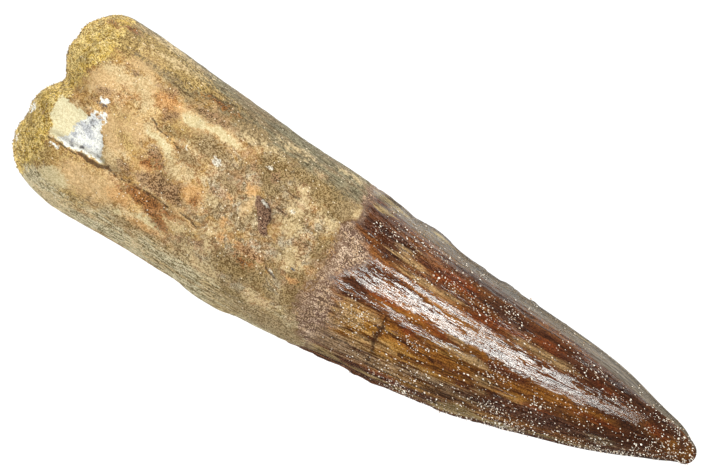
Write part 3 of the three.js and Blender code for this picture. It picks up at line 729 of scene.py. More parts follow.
def build_surface():
    """The angles of the tooth's grid, each point's x before the relief, the points and their fields."""
    angle = -math.pi / 2 + 2 * math.pi * np.arange(AROUND) / AROUND
    x, share = rings(angle)
    base = coarse_form(angle, x, share)
    fields = surface_fields(base, angle, x)
    fields["face"] = np.ones_like(x) * (DARK_FACE_SHARE - share)
    height = fine_relief(base, angle, x, fields) * smooth(share, 0.0, 0.05)
    points = base + outward(base) * height[..., None]
    # The point leans a little to the mesial side.
    points[..., 1] -= TIP_LEAN * smooth(x, 101.5, 104)
    points[..., 2] = np.maximum(points[..., 2], 0)
    return angle, x, points, fields


def grid_faces(ring_count):
    """Quads between neighbouring rings, and a fan of triangles at each end."""
    faces = []
    for i in range(ring_count - 1):
        here = i * AROUND
        there = here + AROUND
        for j in range(AROUND):
            k = (j + 1) % AROUND
            faces.append((here + j, there + j, there + k, here + k))
    root_pole = ring_count * AROUND
    tip_pole = root_pole + 1
    last = (ring_count - 1) * AROUND
    for j in range(AROUND):
        k = (j + 1) % AROUND
        faces.append((root_pole, j, k))
        faces.append((last + j, tip_pole, last + k))
    return faces


def add_bake_map(mesh, corners):
    """A map for baking the material into a picture: a place from 0 to 1 for each face corner."""
    layer = mesh.uv_layers.new(name="OFBake", do_init=False)
    layer.uv.foreach_set("vector", corners.astype(np.float32).ravel())


def grid_corners(points):
    """The bake map of grid_faces: round the tooth in u, from the bottom, and along it in v."""
    steps = np.linalg.norm(np.diff(points, axis=0), axis=-1).mean(axis=1)
    along = np.concatenate([[0.5], 0.5 + np.cumsum(steps)])
    along /= along[-1] + 0.5
    u = np.arange(AROUND + 1) / AROUND
    low, high = u[:-1], u[1:]
    middle = (low + high) / 2
    corners = []
    for v, next_v in zip(along, along[1:]):
        for a, b in zip(low, high):
            corners += [(a, v), (a, next_v), (b, next_v), (b, v)]
    for a, b, m in zip(low, high, middle):
        corners += [(m, 0), (a, along[0]), (b, along[0])]
        corners += [(a, along[-1]), (m, 1), (b, along[-1])]
    return np.array(corners)


def tooth_piece(material):
    """Makes the tooth's mesh, and gives back its grid of points and their fields."""
    angle, x, points, fields = build_surface()
    root_pole = points[0].mean(axis=0)
    tip_pole = points[-1].mean(axis=0) + [0.02, 0, 0]
    everything = np.concatenate([points.reshape(-1, 3), [root_pole, tip_pole]])
    piece = new_piece("fossil_tooth", to_frame(everything), grid_faces(len(x)), material)
    add_bake_map(piece.data, grid_corners(points))
    for name, values in fields.items():
        ends = [values[0].mean(), values[-1].mean()]
        add_field(piece.data, name, np.concatenate([values.ravel(), ends]))
    add_vectors(piece.data, "place", everything)
    ends = [[0, 0, 0], [LENGTH, 0, 0]]
    add_vectors(piece.data, "lengthwise", np.concatenate([lengthwise(angle, x).reshape(-1, 3), ends]))
    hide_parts("tooth")
    return points, fields


# ---- materials


def srgb(red, green, blue):
    """A colour given as it looks, from 0 to 255, as the light that it reflects."""
    levels = np.array([red, green, blue]) / 255
    linear = np.where(levels <= 0.04045, levels / 12.92, ((levels + 0.055) / 1.055) ** 2.4)
    return (*linear.tolist(), 1.0)


class Value:
    """What a material works out at each point. Adding and multiplying values adds nodes."""

    def __init__(self, shader, socket):
        self.shader = shader
        self.socket = socket

    def __add__(self, other):
        return self.shader.math("ADD", self, other)

    def __mul__(self, other):
        return self.shader.math("MULTIPLY", self, other)

    def __sub__(self, number):
        return self + -number


class Shader:
    """One material's nodes, with short ways to add and join them."""

    def __init__(self, name):
        self.material = bpy.data.materials.new(name)
        self.material.use_nodes = True
        self.tree = self.material.node_tree
        self.surface = self.tree.nodes["Principled BSDF"]

    def put(self, name, value):
        """Gives the surface's input called name a number, a colour or a value."""
        self.join(self.surface.inputs[name], value)

    def join(self, socket, value):
        if isinstance(value, Value):
            self.tree.links.new(value.socket, socket)
        else:
            socket.default_value = value

    def add(self, kind, inputs, output=0, **settings):
        """Adds a node and gives back its output as a value."""
        node = self.tree.nodes.new(kind)
        for key, value in settings.items():
            setattr(node, key, value)
        for key, value in inputs.items():
            self.join(node.inputs[key], value)
        return Value(self, node.outputs[output])

    def field(self, name, output="Fac"):
        return self.add("ShaderNodeAttribute", {}, output, attribute_name=name)

    def scaled(self, vector, *scale):
        return self.add("ShaderNodeVectorMath", {0: vector, 1: scale}, operation="MULTIPLY")

    def moved(self, vector, distance):
        return self.add("ShaderNodeVectorMath", {0: vector, 1: (distance,) * 3}, operation="ADD")

    def axis(self, vector, index):
        return self.add("ShaderNodeSeparateXYZ", {0: vector}, index)

    def math(self, operation, first, second):
        return self.add("ShaderNodeMath", {0: first, 1: second}, operation=operation)

    def noise(self, place, size, detail, roughness=0.6, distortion=0.0):
        inputs = {"Vector": place, "Scale": 1 / size, "Detail": detail}
        inputs |= {"Roughness": roughness, "Distortion": distortion}
        return self.add("ShaderNodeTexNoise", inputs, "Fac")

    def cells(self, place, size, output):
        return self.add("ShaderNodeTexVoronoi", {"Vector": place, "Scale": 1 / size}, output)

    def step(self, value, low, high, start=0.0, end=1.0):
        """start where value is up to low, end from high on, and a soft change between."""
        inputs = {"Value": value, "From Min": low, "From Max": high, "To Min": start, "To Max": end}
        return self.add("ShaderNodeMapRange", inputs, "Result", interpolation_type="SMOOTHSTEP")

    def mix(self, share, first, second, blend="MIX"):
        """The first colour where share is 0, and the second where it is 1."""
        inputs = {0: share, 6: first, 7: second}
        return self.add("ShaderNodeMix", inputs, 2, data_type="RGBA", blend_type=blend)

    def dim(self, colour, factor):
        """colour times a grey factor."""
        grey = self.add("ShaderNodeCombineColor", {i: factor for i in range(3)})
        return self.mix(1.0, colour, grey, "MULTIPLY")

    def blend(self, share, first, second):
        """The first number where share is 0, and the second where it is 1."""
        return self.add("ShaderNodeMix", {0: share, 2: first, 3: second})


class Grain:
    """The tooth's coordinates and the random patterns that its colours and bumps share."""

    def __init__(self, s):
        self.s = s
        self.place = s.field("place", "Vector")
        self.lengthwise = s.field("lengthwise", "Vector")
        self.x = s.axis(self.place, 0)
        self.across = s.axis(self.lengthwise, 1)
        long_fibres = s.scaled(self.lengthwise, 0.08, 1, 1)
        self.broad = s.noise(self.place, 5.0, 3)
        self.blotch = s.noise(self.place, 2.4, 3)
        self.middle = s.noise(self.place, 1.0, 3)
        self.small = s.noise(self.place, 0.42, 2)
        self.grit = s.noise(self.place, 0.19, 1)
        self.fibre = s.noise(s.scaled(self.lengthwise, 0.24, 1, 1), 0.3, 2)
        self.streak = s.noise(long_fibres, 1.2, 4, 0.6, 0.5)
        self.line = s.noise(long_fibres, 0.5, 3, 0.65, 0.9)
        self.scratch = s.noise(s.scaled(self.lengthwise, 0.16, 1, 1), 0.2, 1, 0.6, 0.6)
        speckle = s.step(self.small * 0.43 + self.grit * 0.57, 0.41, 0.59) - 0.5
        amount = s.step(s.noise(s.moved(self.place, 9.7), 3.0, 2), 0.38, 0.62, 0.8, 2.0)
        self.speckle = speckle * amount + 0.5
        self.soft_speckle = speckle * 0.75 + 0.5
        self.dust = s.step(s.noise(self.place, 0.12, 1, 0.7), 0.4, 0.6)
        self.hair = s.step(self.fibre * 0.7 + self.grit * 0.3, 0.42, 0.58)
        # The strip along the crown's distal edge, where the table's sheen is mirrored; its greyer tone is
        # partly painted reflection, under the real one from the sheen lamps
        widening = s.step(self.x, 78, 90, -0.6, 1.1) + s.step(self.x, 91, 97, 0, -0.7)
        self.sheen_strip = s.step(self.across + widening + self.streak * 3, 10.3, 11.0)

    def mask(self, name, soft, ragged, lengthwise=False):
        """Where the field called name is above 0, with an edge that the patterns wear away."""
        first, second = (self.streak, self.line) if lengthwise else (self.middle, self.small)
        jitter = first * ragged + second * ragged - ragged
        return self.s.step(self.s.field(name) + jitter, -soft, soft)

    def groove(self, ragged, low, high):
        """Where the cracks and dark grooves are, and the painted shadow line under the crust's edge."""
        return self.s.step(self.s.field("groove") + (self.small - 0.5) * ragged, low, high)

    def tones(self, name, pattern=None):
        """A surface's dark and light grains, mixed by a pattern."""
        dark, light = TONES[name]
        return self.s.mix(pattern or self.speckle, srgb(*dark), srgb(*light))


# Each kind of surface as its dark and its light grains, in sRGB
TONES = {
    "end": ((150, 112, 62), (204, 168, 110)),
    "end, pale": ((188, 150, 98), (232, 202, 148)),
    "beige": ((110, 88, 58), (176, 154, 118)),
    "beige, pale": ((128, 112, 86), (202, 188, 163)),
    # The root's sides: partly their own colour and partly painted light, lightened for the light they
    # don't get
    "distal side": ((76, 66, 44), (148, 139, 111)),
    "distal side, brown": ((86, 70, 46), (154, 133, 100)),
    "mesial side": ((112, 97, 60), (226, 214, 180)),
    "mesial side, brown": ((98, 76, 40), (212, 188, 142)),
    "brown": ((112, 78, 44), (172, 132, 86)),
    "drab": ((100, 80, 52), (162, 140, 104)),
    "sandy": ((196, 166, 118), (240, 218, 176)),
    "ochre": ((170, 124, 56), (214, 170, 98)),
    "rosy": ((152, 106, 72), (212, 166, 126)),
    "tan": ((190, 154, 104), (228, 196, 148)),
    "olive": ((90, 68, 32), (162, 138, 94)),
    "grey": ((104, 82, 50), (172, 148, 108)),
    "gold": ((118, 88, 40), (198, 168, 102)),
    "peach": ((180, 130, 74), (230, 184, 126)),
    "rust": ((156, 104, 54), (218, 166, 108)),
    "russet": ((58, 24, 4), (160, 100, 46)),
    "umber": ((68, 42, 26), (170, 134, 98)),
    "pale": ((172, 144, 98), (230, 208, 164)),
    "cream": ((196, 176, 130), (230, 216, 174)),
    # The chip is paler than the cream streaks, partly in its own colour and partly as painted light, for
    # the light the sloping end doesn't get
    "chip": ((224, 208, 162), (248, 241, 206)),
    "pit": ((60, 36, 26), (140, 108, 86)),
    "quartz": ((150, 138, 118), (240, 236, 224)),
    "white": ((206, 207, 203), (255, 255, 250)),
    "slate": ((122, 124, 134), (204, 206, 214)),
    "ink": ((70, 72, 80), (130, 126, 122)),
    "crust": ((146, 110, 38), (236, 204, 112)),
    "crust, pale": ((172, 138, 66), (250, 226, 154)),
    "mahogany brown": ((54, 24, 10), (108, 62, 34)),
    "chestnut": ((76, 38, 14), (140, 90, 48)),
    "red": ((82, 30, 10), (136, 68, 30)),
    "mahogany": ((40, 18, 11), (84, 50, 34)),
    "honey": ((122, 78, 24), (188, 142, 72)),
    "amber": ((100, 54, 12), (158, 104, 42)),
    # grey-brown zones of the crown, partly a painted reflection of the table
    "dusky_sheen": ((90, 66, 46), (160, 134, 102)),
    "silt": ((96, 76, 42), (196, 172, 118)),
    "khaki": ((112, 84, 50), (182, 150, 106)),
    # the distal strip's greyer tone, partly painted reflection
    "sheen_strip": ((44, 37, 23), (104, 92, 66)),
    "worn": ((92, 62, 46), (206, 178, 152)),
    "worn, brown": ((84, 58, 37), (194, 162, 128)),
    "worn, pale": ((134, 106, 82), (232, 208, 182)),
}

DOT_SPACING = 0.5
DARK_DOT = srgb(82, 56, 30)
PAINTED_GLINT = srgb(248, 234, 206)
ROOT_GROOVE_AND_SHADOW = srgb(66, 44, 26)
CROWN_GROOVE_AND_SHADOW = srgb(44, 22, 10)
CRUST_EDGE_SHADOW = srgb(104, 72, 46)
DARK_PALE_SAND = srgb(176, 144, 110)
LIGHT_PALE_SAND = srgb(255, 250, 240)
DARK_OCHRE_SAND = srgb(126, 96, 44)
LIGHT_OCHRE_SAND = srgb(246, 220, 150)
BUMP_HEIGHT = 0.00012
ENAMEL_IOR = 1.55

SOFT_TONES = ("tan", "peach", "pale", "cream", "chip", "white", "slate")

# Random stains all over the root: size in mm, how rare they are, and how strong
MOTTLES = (
    ("ochre", 3.4, 0.52, 0.5),
    ("rosy", 2.8, 0.54, 0.45),
    ("brown", 1.5, 0.54, 0.6),
    ("drab", 0.9, 0.57, 0.6),
    ("sandy", 1.1, 0.57, 0.5),
)

# The root's marked stains in the order they lie: how soft and how ragged the edge is, and how strong
LARGE_STAINS = (
    ("tan", 0.4, 1.2, 0.85),
    ("olive", 0.5, 1.8, 0.85),
    ("grey", 0.4, 1.6, 0.85),
    ("gold", 0.7, 2.2, 0.8),
    ("peach", 0.4, 1.4, 0.85),
    ("rust", 0.3, 1.6, 0.8),
    ("pale", 0.5, 2.0, 0.75),
)
SMALL_STAINS = (
    ("cream", 0.3, 1.1, 0.9),
    ("chip", 0.2, 0.9, 0.95),
    ("umber", 0.3, 2.0, 0.8),
    ("russet", 0.3, 1.8, 0.85),
    ("pit", 0.1, 0.5, 0.95),
    ("quartz", 0.1, 0.6, 0.8),
    ("white", 0.1, 0.8, 1.0),
    ("slate", 0.15, 1.4, 0.75),
    ("ink", 0.08, 0.4, 0.9),
)
CROWN_STAINS = {"amber": 0.85, "honey": 0.85, "red": 0.85, "mahogany": 0.85, "dusky_sheen": 0.8, "khaki": 0.8}


def stained(s, g, colour, stains):
    """colour with the marked stains over it."""
    for name, soft, ragged, strength in stains:
        pattern = g.soft_speckle if name in SOFT_TONES else g.speckle
        colour = s.mix(g.mask(name, soft, ragged) * strength, colour, g.tones(name, pattern))
    return colour


def bare_root(s, g):
    """The root's ground colour, which is warmer at its end, and its random stains."""
    patchy = s.step(g.blotch, 0.42, 0.58)
    near_end = s.mix(patchy, g.tones("end"), g.tones("end, pale"))
    near_crown = s.mix(s.step(g.blotch, 0.46, 0.62), g.tones("beige"), g.tones("beige, pale"))
    colour = s.mix(s.step(g.x + g.broad * 16, 28, 38), near_end, near_crown)
    for number, (name, size, level, strength) in enumerate(MOTTLES):
        mottle = s.noise(s.moved(g.place, 17.3 * number), size, 4, 0.62, 0.8)
        share = s.step(mottle, level - 0.03, level + 0.05, 0, strength)
        colour = s.mix(share, colour, g.tones(name))

    # The root's distal and mesial sides are streaked lengthwise. Their tones are partly their own colour
    # and partly painted light: both are lightened, the mesial one most, for the light that the sides
    # turned from the lamps don't get.
    ragged = g.broad * 9 + g.blotch * 4 - 6.5
    brownish = s.step(g.streak * 0.6 + g.broad * 0.4, 0.46, 0.58)
    streaky = g.hair * 0.7 + g.speckle * 0.3
    for name, reach in (("distal", g.across + ragged + 0.7), ("mesial", g.across * -1 + ragged)):
        side = g.tones(name + " side", streaky)
        side = s.mix(brownish, side, g.tones(name + " side, brown", streaky))
        colour = s.mix(s.step(reach, 6.6, 9.2), colour, side)
    return colour


def end_crust(s, g):
    """The sandy crust at the root's end, which is darker on the end's own face."""
    colour = s.mix(s.step(g.middle, 0.42, 0.58), g.tones("crust"), g.tones("crust, pale"))
    drab = s.noise(s.moved(g.place, 5.1), 2.2, 4, 0.65, 0.8)
    colour = s.mix(s.step(drab, 0.5, 0.6, 0, 0.6), colour, g.tones("olive"))
    deep = s.field("face") + g.blotch * 0.3 - 0.15
    return s.dim(colour, s.step(deep, -0.1, 0.25, 1.0, 0.5))


def root_colour(s, g):
    colour = stained(s, g, bare_root(s, g), LARGE_STAINS)
    colour = s.mix(g.mask("crust", 0.5, 2.4), colour, end_crust(s, g))
    colour = stained(s, g, colour, SMALL_STAINS)

    # Scattered dark pits, and pale dots painted as glints (painted highlights), of which the smooth chip
    # has few
    chip = s.step(s.math("MAXIMUM", s.field("chip"), s.field("white")), -0.1, 0.3, 1.0, 0.1)
    dot = s.step(s.cells(g.place, DOT_SPACING, "Distance"), 0.12, 0.26, 1.0, 0.0) * chip
    kind = s.cells(g.place, DOT_SPACING, "Color")
    colour = s.mix(dot * s.step(s.axis(kind, 0), 0.80, 0.84, 0, 0.7), colour, DARK_DOT)
    colour = s.mix(dot * s.step(s.axis(kind, 1), 0.78, 0.82, 0, 0.85), colour, PAINTED_GLINT)
    return s.mix(g.groove(0.5, -0.1, 0.06) * 0.85, colour, ROOT_GROOVE_AND_SHADOW)


def crown_colour(s, g):
    """The glossy enamel's colour, and that of its worn rim."""
    line = s.step(g.line * 0.5 + g.scratch * 0.3 + g.grit * 0.2, 0.4, 0.6)
    brown = g.tones("mahogany brown", line)
    colour = s.mix(s.step(g.streak, 0.42, 0.56), brown, g.tones("chestnut", line))
    for name, strength in CROWN_STAINS.items():
        colour = s.mix(g.mask(name, 0.35, 1.6, True) * strength, colour, g.tones(name, line))
    colour = s.dim(colour, s.step(g.grit, 0.36, 0.64, 0.7, 1.25))
    # Darker towards the tip
    colour = s.dim(colour, s.step(g.x, 56, 72, 1.0, 0.74) * s.step(g.x, 84, 94, 1.0, 0.78))
    # The distal strip is greyer: partly painted reflection of the table, under the sheen lamps' real one
    colour = s.mix(g.sheen_strip * 0.75, colour, g.tones("sheen_strip", line))
    colour = s.mix(g.mask("silt", 0.2, 1.2, True) * 0.7, colour, g.tones("silt", line))
    colour = s.mix(g.groove(0.4, -0.12, 0.06) * 0.7, colour, CROWN_GROOVE_AND_SHADOW)

    # The worn rim, where the gloss is gone
    rubbed = g.dust * 0.35 + g.speckle * 0.2 + g.hair * 0.25 + line * 0.2
    rubbed = s.step(rubbed, 0.48, 0.76)
    brownish = s.step(g.middle, 0.42, 0.54, 0, 0.9)
    worn = s.mix(brownish, g.tones("worn", rubbed), g.tones("worn, brown", rubbed))
    worn = s.mix(s.step(g.blotch, 0.53, 0.6, 0, 0.7), worn, g.tones("worn, pale", rubbed))
    return colour, worn


def crown_gloss(s, g, bare):
    """The enamel's roughness and how strongly it mirrors, both uneven along its ridges."""
    dashes = g.line * 0.32 + g.scratch * 0.4 + g.grit * 0.28
    dashes += s.step(s.field("polish"), -0.3, 0.3, 0.0, -0.04)
    worn_off = s.field("matte") + g.line * 1.6 + g.scratch * 1.2 - 1.45
    worn_off = s.step(worn_off, -0.08, 0.08)
    rough = s.blend(worn_off, s.step(dashes, 0.51, 0.56, 0.16, 1.0), 1.0)
    rough = s.blend(g.sheen_strip * s.step(g.x, 76, 86), rough, 0.4)
    rough = s.blend(bare, 0.85, rough)

    mirror = s.step(g.line * 0.6 + g.scratch * 0.4, 0.42, 0.58, 0.3, 0.66)
    mirror *= s.step(g.x, 60, 68, 0.72, 1)
    mirror = s.blend(g.sheen_strip, s.step(g.x, 50.5, 54.5, 0.32, 0.5), mirror)
    mirror = s.blend(worn_off * s.step(g.sheen_strip, 0, 1, 1, 0), mirror, 0.12)
    return rough, s.blend(bare, 0.45, mirror)


def tooth_material():
    s = Shader("fossil_tooth")
    g = Grain(s)
    colour, worn = crown_colour(s, g)
    # The enamel's rim is worn and pinkish, and then the root's crust ends on it.
    jitter = g.middle * 2.2 + g.streak * 3 + g.small * 1.6 - 3.4
    bare = s.step(s.field("gloss") + jitter, -1.2, 1.2)
    border = s.field("enamel") + g.middle * 1.2 + g.small * 1.2 - 1.2
    crown = s.step(border, -0.15, 0.15)
    colour = s.mix(crown, root_colour(s, g), s.mix(bare, worn, colour))
    # A darker line along the crust's edge, all round: painted shadow of the crust's raised edge on the
    # enamel
    crust_edge_shadow = s.step(border, -0.7, -0.1) * s.step(border, 0.1, 0.7, 1.0, 0.0)
    crust_edge_shadow *= s.step(g.blotch, 0.4, 0.6, 0.1, 0.6)
    s.put("Base Color", s.mix(crust_edge_shadow, colour, CRUST_EDGE_SHADOW))

    rough, mirror = crown_gloss(s, g, bare)
    s.put("Roughness", s.blend(crown, s.step(g.small, 0.6, 0.7, 0.9, 0.4), rough))
    s.put("IOR", ENAMEL_IOR)
    s.put("Specular IOR Level", s.blend(crown, 0.25, mirror))

    root_bumps = g.fibre * 0.5 + g.small * 0.5 + g.grit * 0.5
    crown_bumps = g.line * 0.3 + g.scratch * 0.4 + g.grit * 0.2
    height = s.blend(crown, root_bumps, crown_bumps)
    bump = {"Height": height, "Distance": BUMP_HEIGHT, "Strength": 1.0}
    s.put("Normal", s.add("ShaderNodeBump", bump, "Normal"))
    return s.material


def sand_material(name, dark, light):
    s = Shader(name)
    s.put("Base Color", s.mix(s.field("tone"), dark, light))
    s.put("Roughness", 0.6)
    return s.material


# ---- sand

CROWN_GRAINS = 3600
ROOT_GRAINS = 3600

# Sizes and places of the grains, in mm
SMALLEST_GRAIN = 0.1
CROWN_GRAIN_SPREAD = 0.14
LARGEST_ROOT_GRAIN = 0.2
GRAIN_JITTER = 0.1
LOWEST_GRAIN_Z = 0.02

GRAIN_CORNERS = 12
ICOSAHEDRON_RATIO = (1 + math.sqrt(5)) / 2


def icosahedron():
    """Its corners at a distance of 1 from the middle, and its faces, which point out."""
    r = ICOSAHEDRON_RATIO
    corners = []
    for a in (-1, 1):
        for b in (-r, r):
            corners += [(0, a, b), (a, b, 0), (b, 0, a)]
    corners = np.array(corners, float)
    corners /= np.linalg.norm(corners[0])
    edge = np.linalg.norm(corners[:, None] - corners[None], axis=-1)
    near = edge < 1.2
    faces = []
    for i in range(GRAIN_CORNERS):
        for j in range(i + 1, GRAIN_CORNERS):
            for k in range(j + 1, GRAIN_CORNERS):
                if near[i, j] and near[j, k] and near[i, k]:
                    normal = np.cross(corners[j] - corners[i], corners[k] - corners[i])
                    outside = normal @ corners[i] > 0
                    faces.append((i, j, k) if outside else (i, k, j))
    return corners, np.array(faces)


def sand_piece(name, places, normals, sizes, tones, material, random):
    """Many grains in one mesh, each an uneven icosahedron that is sunk in the surface."""
    corners, faces = icosahedron()
    count = len(places)
    spin = np.linalg.qr(random.normal(size=(count, 3, 3)))[0]
    uneven = random.uniform(0.7, 1.25, (count, GRAIN_CORNERS, 1))
    uneven = uneven * random.uniform(0.45, 1.25, (count, 1, 3))
    shapes = np.einsum("nij,nvj->nvi", spin, corners[None] * uneven) * np.array([1.5, 1.0, 1.0])
    centres = places + normals * (sizes * 0.1)[:, None]
    points = centres[:, None] + shapes * (sizes / 2)[:, None, None]
    points[..., 2] = np.maximum(points[..., 2], LOWEST_GRAIN_Z)
    # A spin that mirrors turns the faces inside out.
    mirrored = np.linalg.det(spin) < 0
    flipped = faces[:, ::-1]
    all_faces = np.where(mirrored[:, None, None], flipped[None], faces[None])
    first_corner = GRAIN_CORNERS * np.arange(count)
    all_faces = (all_faces + first_corner[:, None, None]).reshape(-1, 3).tolist()
    piece = new_piece(name, to_frame(points.reshape(-1, 3)), all_faces, material, False)
    add_field(piece.data, "tone", np.repeat(tones, GRAIN_CORNERS))
    # Every grain has one colour, so all its faces share a corner of its own square of the bake map.
    squares = math.ceil(math.sqrt(count))
    cell = np.arange(count)
    start = np.stack([cell % squares, cell // squares], axis=-1)[:, None, None] + 0.15
    triangle = np.array([[0, 0], [0.7, 0], [0, 0.7]])
    add_bake_map(piece.data, np.repeat(start + triangle, len(faces), axis=1) / squares)
    return piece


def scatter(points, weight, count, random):
    """Indices of count grid points, picked by the area round them times weight."""
    around = np.linalg.norm(np.roll(points, -1, axis=1) - points, axis=-1)
    along = np.linalg.norm(np.gradient(points, axis=0), axis=-1)
    chance = (around * along * weight).ravel()
    return random.choice(chance.size, count, replace=False, p=chance / chance.sum())


# Where sand gathers on the upper face of the crown, as spots
SAND_CLUSTERS = [
    (72, 6.2, 1.6, 0.7, -10), (69, 4.6, 2.2, 0.7, -5), (62.4, -4.4, 1.6, 0.9), (74.6, -1.6, 2, 1.4, 10),
    (76.5, -6.2, 2.6, 0.7, 10), (79, -7.4, 2.4, 0.7, 15), (85.6, 5.6, 1.6, 0.5, -10),
    (86.8, 4.6, 0.8, 0.3, -5), (91.6, -2.6, 1.2, 0.4, 15), (92.2, 3.8, 0.8, 0.4),
    (94.6, -2.9, 2.2, 0.4, 22), (91, -4.3, 3, 0.35, 18), (83.6, 3.6, 1, 0.7), (63, 5.4, 2.4, 0.6),
    (58.5, 8.4, 2.5, 0.6), (53, -5, 2.4, 1.8), (51, 7.4, 2.4, 0.7), (63, -10.4, 2.6, 0.4, 4),
    (81.4, -2.6, 0.9, 0.6), (79.6, -8, 1.8, 0.4, 16), (72, -10, 3, 0.3, 14), (64.5, -11.2, 3, 0.3, 5),
    (47.8, -5, 1.2, 1.4),
]


def add_sand(points, fields):
    """Sand on the crown, mostly where light comes from above, and in the root's crust."""
    normals = outward(points)
    flat_points = points.reshape(-1, 3)
    flat_normals = normals.reshape(-1, 3)
    x = points[..., 0]
    y = points[..., 1]
    up = normals[..., 2]
    random = np.random.default_rng(7)

    gathered = np.zeros_like(x)
    for cluster in SAND_CLUSTERS:
        along, across = ellipse(x, y, *cluster)
        gathered += np.exp(-(along**2) - across**2)
    glaze = smooth(fields["enamel"], 1.0, 3.0)
    clumps = smooth(fractal(points, 3.2, 2, shift=41.0), -0.2, 0.5)
    weight = 0.22 + 0.8 * clumps + 0.15 * smooth(x, 74, 90) + 1.5 * smooth(x, 93, 101)
    weight += 5.0 * gathered * (up > 0)
    mesial = np.where(y < -6, smooth(x, 58, 64), smooth(x, 78, 90) * (y < 2))
    lit = smooth(up, 0.2, 0.8) + 0.5 * mesial * (up > 0)
    weight *= glaze * (0.12 + lit)
    picked = scatter(points, weight, CROWN_GRAINS, random)
    sizes = SMALLEST_GRAIN + CROWN_GRAIN_SPREAD * random.uniform(0, 1, CROWN_GRAINS) ** 2
    jitter = random.uniform(-GRAIN_JITTER, GRAIN_JITTER, (CROWN_GRAINS, 3))
    places = flat_points[picked] + jitter * np.array([2.4, 1, 1])
    tones = random.uniform(0, 1, CROWN_GRAINS) ** 0.7
    pale = sand_material("pale_sand", DARK_PALE_SAND, LIGHT_PALE_SAND)
    sand_piece("crown_sand", places, flat_normals[picked], sizes, tones, pale, random)

    picked = scatter(points, smooth(fields["crust"], -0.5, 0.8), ROOT_GRAINS, random)
    sizes = random.uniform(SMALLEST_GRAIN, LARGEST_ROOT_GRAIN, ROOT_GRAINS)
    places = flat_points[picked] + random.uniform(-GRAIN_JITTER, 0.06, (ROOT_GRAINS, 3))
    tones = random.uniform(0, 1, ROOT_GRAINS)
    ochre = sand_material("ochre_sand", DARK_OCHRE_SAND, LIGHT_OCHRE_SAND)
    sand_piece("root_sand", places, flat_normals[picked], sizes, tones, ochre, random)


# ---- camera, floor and light

# The camera is in metres, and its aim in the tooth's millimetres
FRAME_WIDTH = 0.0988  # what the camera sees across, at the tooth's middle height
CAMERA_HEIGHT = 0.75
SENSOR = 36.0
PHOTO_TURN = 30.6  # degrees that the tooth points below the picture's horizontal
AIM = (47.68, 4.36)  # the place on the tooth at the middle of the picture
AIM_HEIGHT = 10.0

FLOOR_Z = -0.00002
TABLE_Z = -0.0001
STAGE_SIZE = 8
WHITE_GLOW = 1.1
LIGHT_TINT = (1.0, 1.0, 0.953)
ROOM_GLOW = 0.10
LIT_POINT = (0, 0, 0.01)
SHEEN_Z = -0.00003
TABLE_LIGHT_Z = -0.00005

# Bright patches of the table, which face up: glow, length, width, x, y, and whether the patch is a
# sheen, which is only seen mirrored in the tooth's edge, or lights the edge and isn't mirrored
TABLE_LIGHTS = (
    ("table_distal", 0.75, 0.36, 0.30, -0.12, 0.167, False),
    ("root_sheen", 2.4, 0.297, 0.045, -0.1515, 0.0385, True),
    ("distal_sheen", 2.1, 0.034, 0.045, 0.017, 0.0385, True),
    ("tip_sheen", 3.4, 0.1, 0.045, 0.084, 0.0385, True),
    ("table_mesial", 1.6, 0.6, 0.30, 0, -0.177, False),
    ("table_end", 4.0, 0.2, 0.12, -0.160, 0, False),
)


def add_camera():
    data = bpy.data.cameras.new("camera")
    data.sensor_width = SENSOR
    data.lens = SENSOR * CAMERA_HEIGHT / FRAME_WIDTH
    data.clip_start = 0.01
    camera = bpy.data.objects.new("camera", data)
    aim = to_frame(np.array([*AIM, AIM_HEIGHT]))
    camera.location = (aim[0], aim[1], aim[2] + CAMERA_HEIGHT)
    camera.rotation_euler = (0, 0, math.radians(PHOTO_TURN))
    bpy.context.scene.collection.objects.link(camera)
    bpy.context.scene.camera = camera


def dressed(name, colour, glow):
    """The newest object, named and with a plain finish."""
    piece = bpy.context.object
    s = Shader(name)
    s.put("Base Color", (*colour, 1))
    s.put("Roughness", 0.9)
    s.put("Emission Color", (1, 1, 1, 1))
    s.put("Emission Strength", glow)
    piece.name = name
    piece.data.materials.append(s.material)
    return piece


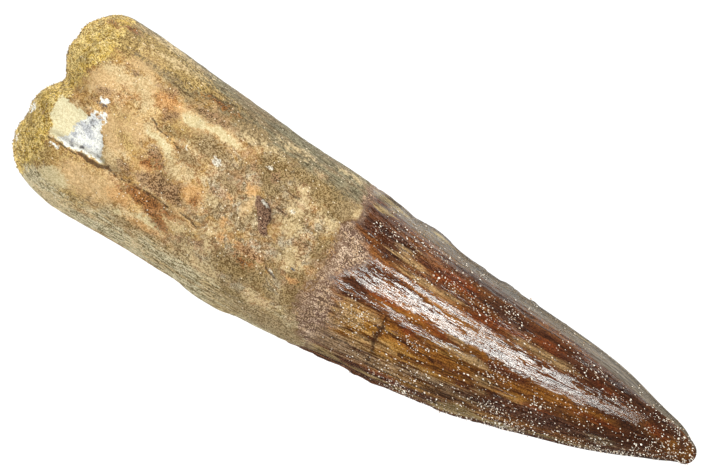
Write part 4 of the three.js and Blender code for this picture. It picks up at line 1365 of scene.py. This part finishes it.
def add_floor():
    """A white floor and backdrop that only the camera sees, over a grey table that lights the tooth."""
    bpy.ops.mesh.primitive_plane_add(size=STAGE_SIZE, location=(0, 0, FLOOR_Z))
    floor = dressed("floor", (0, 0, 0), WHITE_GLOW)
    bpy.ops.mesh.primitive_uv_sphere_add(radius=STAGE_SIZE / 2)
    backdrop = dressed("backdrop", (0, 0, 0), WHITE_GLOW)
    for piece in (floor, backdrop):
        piece.visible_diffuse = False
        piece.visible_glossy = False
        piece.visible_shadow = False
    bpy.ops.mesh.primitive_plane_add(size=STAGE_SIZE, location=(0, 0, TABLE_Z))
    table = dressed("table", (0.8, 0.8, 0.8), 0.0)
    table.visible_camera = False
    table.visible_glossy = False


def add_light(name, glow, length, width, place, towards, mirrored=True, lights=True):
    """A soft rectangular light of an even glow, with its length along X."""
    data = bpy.data.lights.new(name, "AREA")
    data.shape = "RECTANGLE"
    data.size = length
    data.size_y = width
    data.energy = glow * math.pi * length * width
    data.color = LIGHT_TINT
    light = bpy.data.objects.new(name, data)
    back = (Vector(place) - Vector(towards)).normalized()
    right = (Vector((1, 0, 0)) - back * back.x).normalized()
    turn = Matrix((right, back.cross(right), back)).transposed()
    light.matrix_world = Matrix.Translation(place) @ turn.to_4x4()
    light.visible_camera = False
    light.visible_glossy = mirrored
    light.visible_diffuse = lights
    bpy.context.scene.collection.objects.link(light)


def add_world():
    world = bpy.data.worlds.new("room")
    world.use_nodes = True
    world.node_tree.nodes["Background"].inputs["Color"].default_value = (*LIGHT_TINT, 1)
    world.node_tree.nodes["Background"].inputs["Strength"].default_value = ROOM_GLOW
    bpy.context.scene.world = world


# ---- the scene

surface, marks = tooth_piece(tooth_material())
add_sand(surface, marks)
add_floor()
add_light("key", 28.0, 0.19, 0.36, (0.25, 0.165, 0.60), LIT_POINT)
add_light("low_key", 70.0, 0.19, 0.04, (0.25, -0.165, 0.60), LIT_POINT, lights=False)
for name, glow, length, width, x, y, sheen in TABLE_LIGHTS:
    z = SHEEN_Z if sheen else TABLE_LIGHT_Z
    add_light(name, glow, length, width, (x, y, z), (x, y, 1), mirrored=sheen, lights=not sheen)
add_world()
add_camera()
bpy.context.scene.view_settings.view_transform = "Standard"
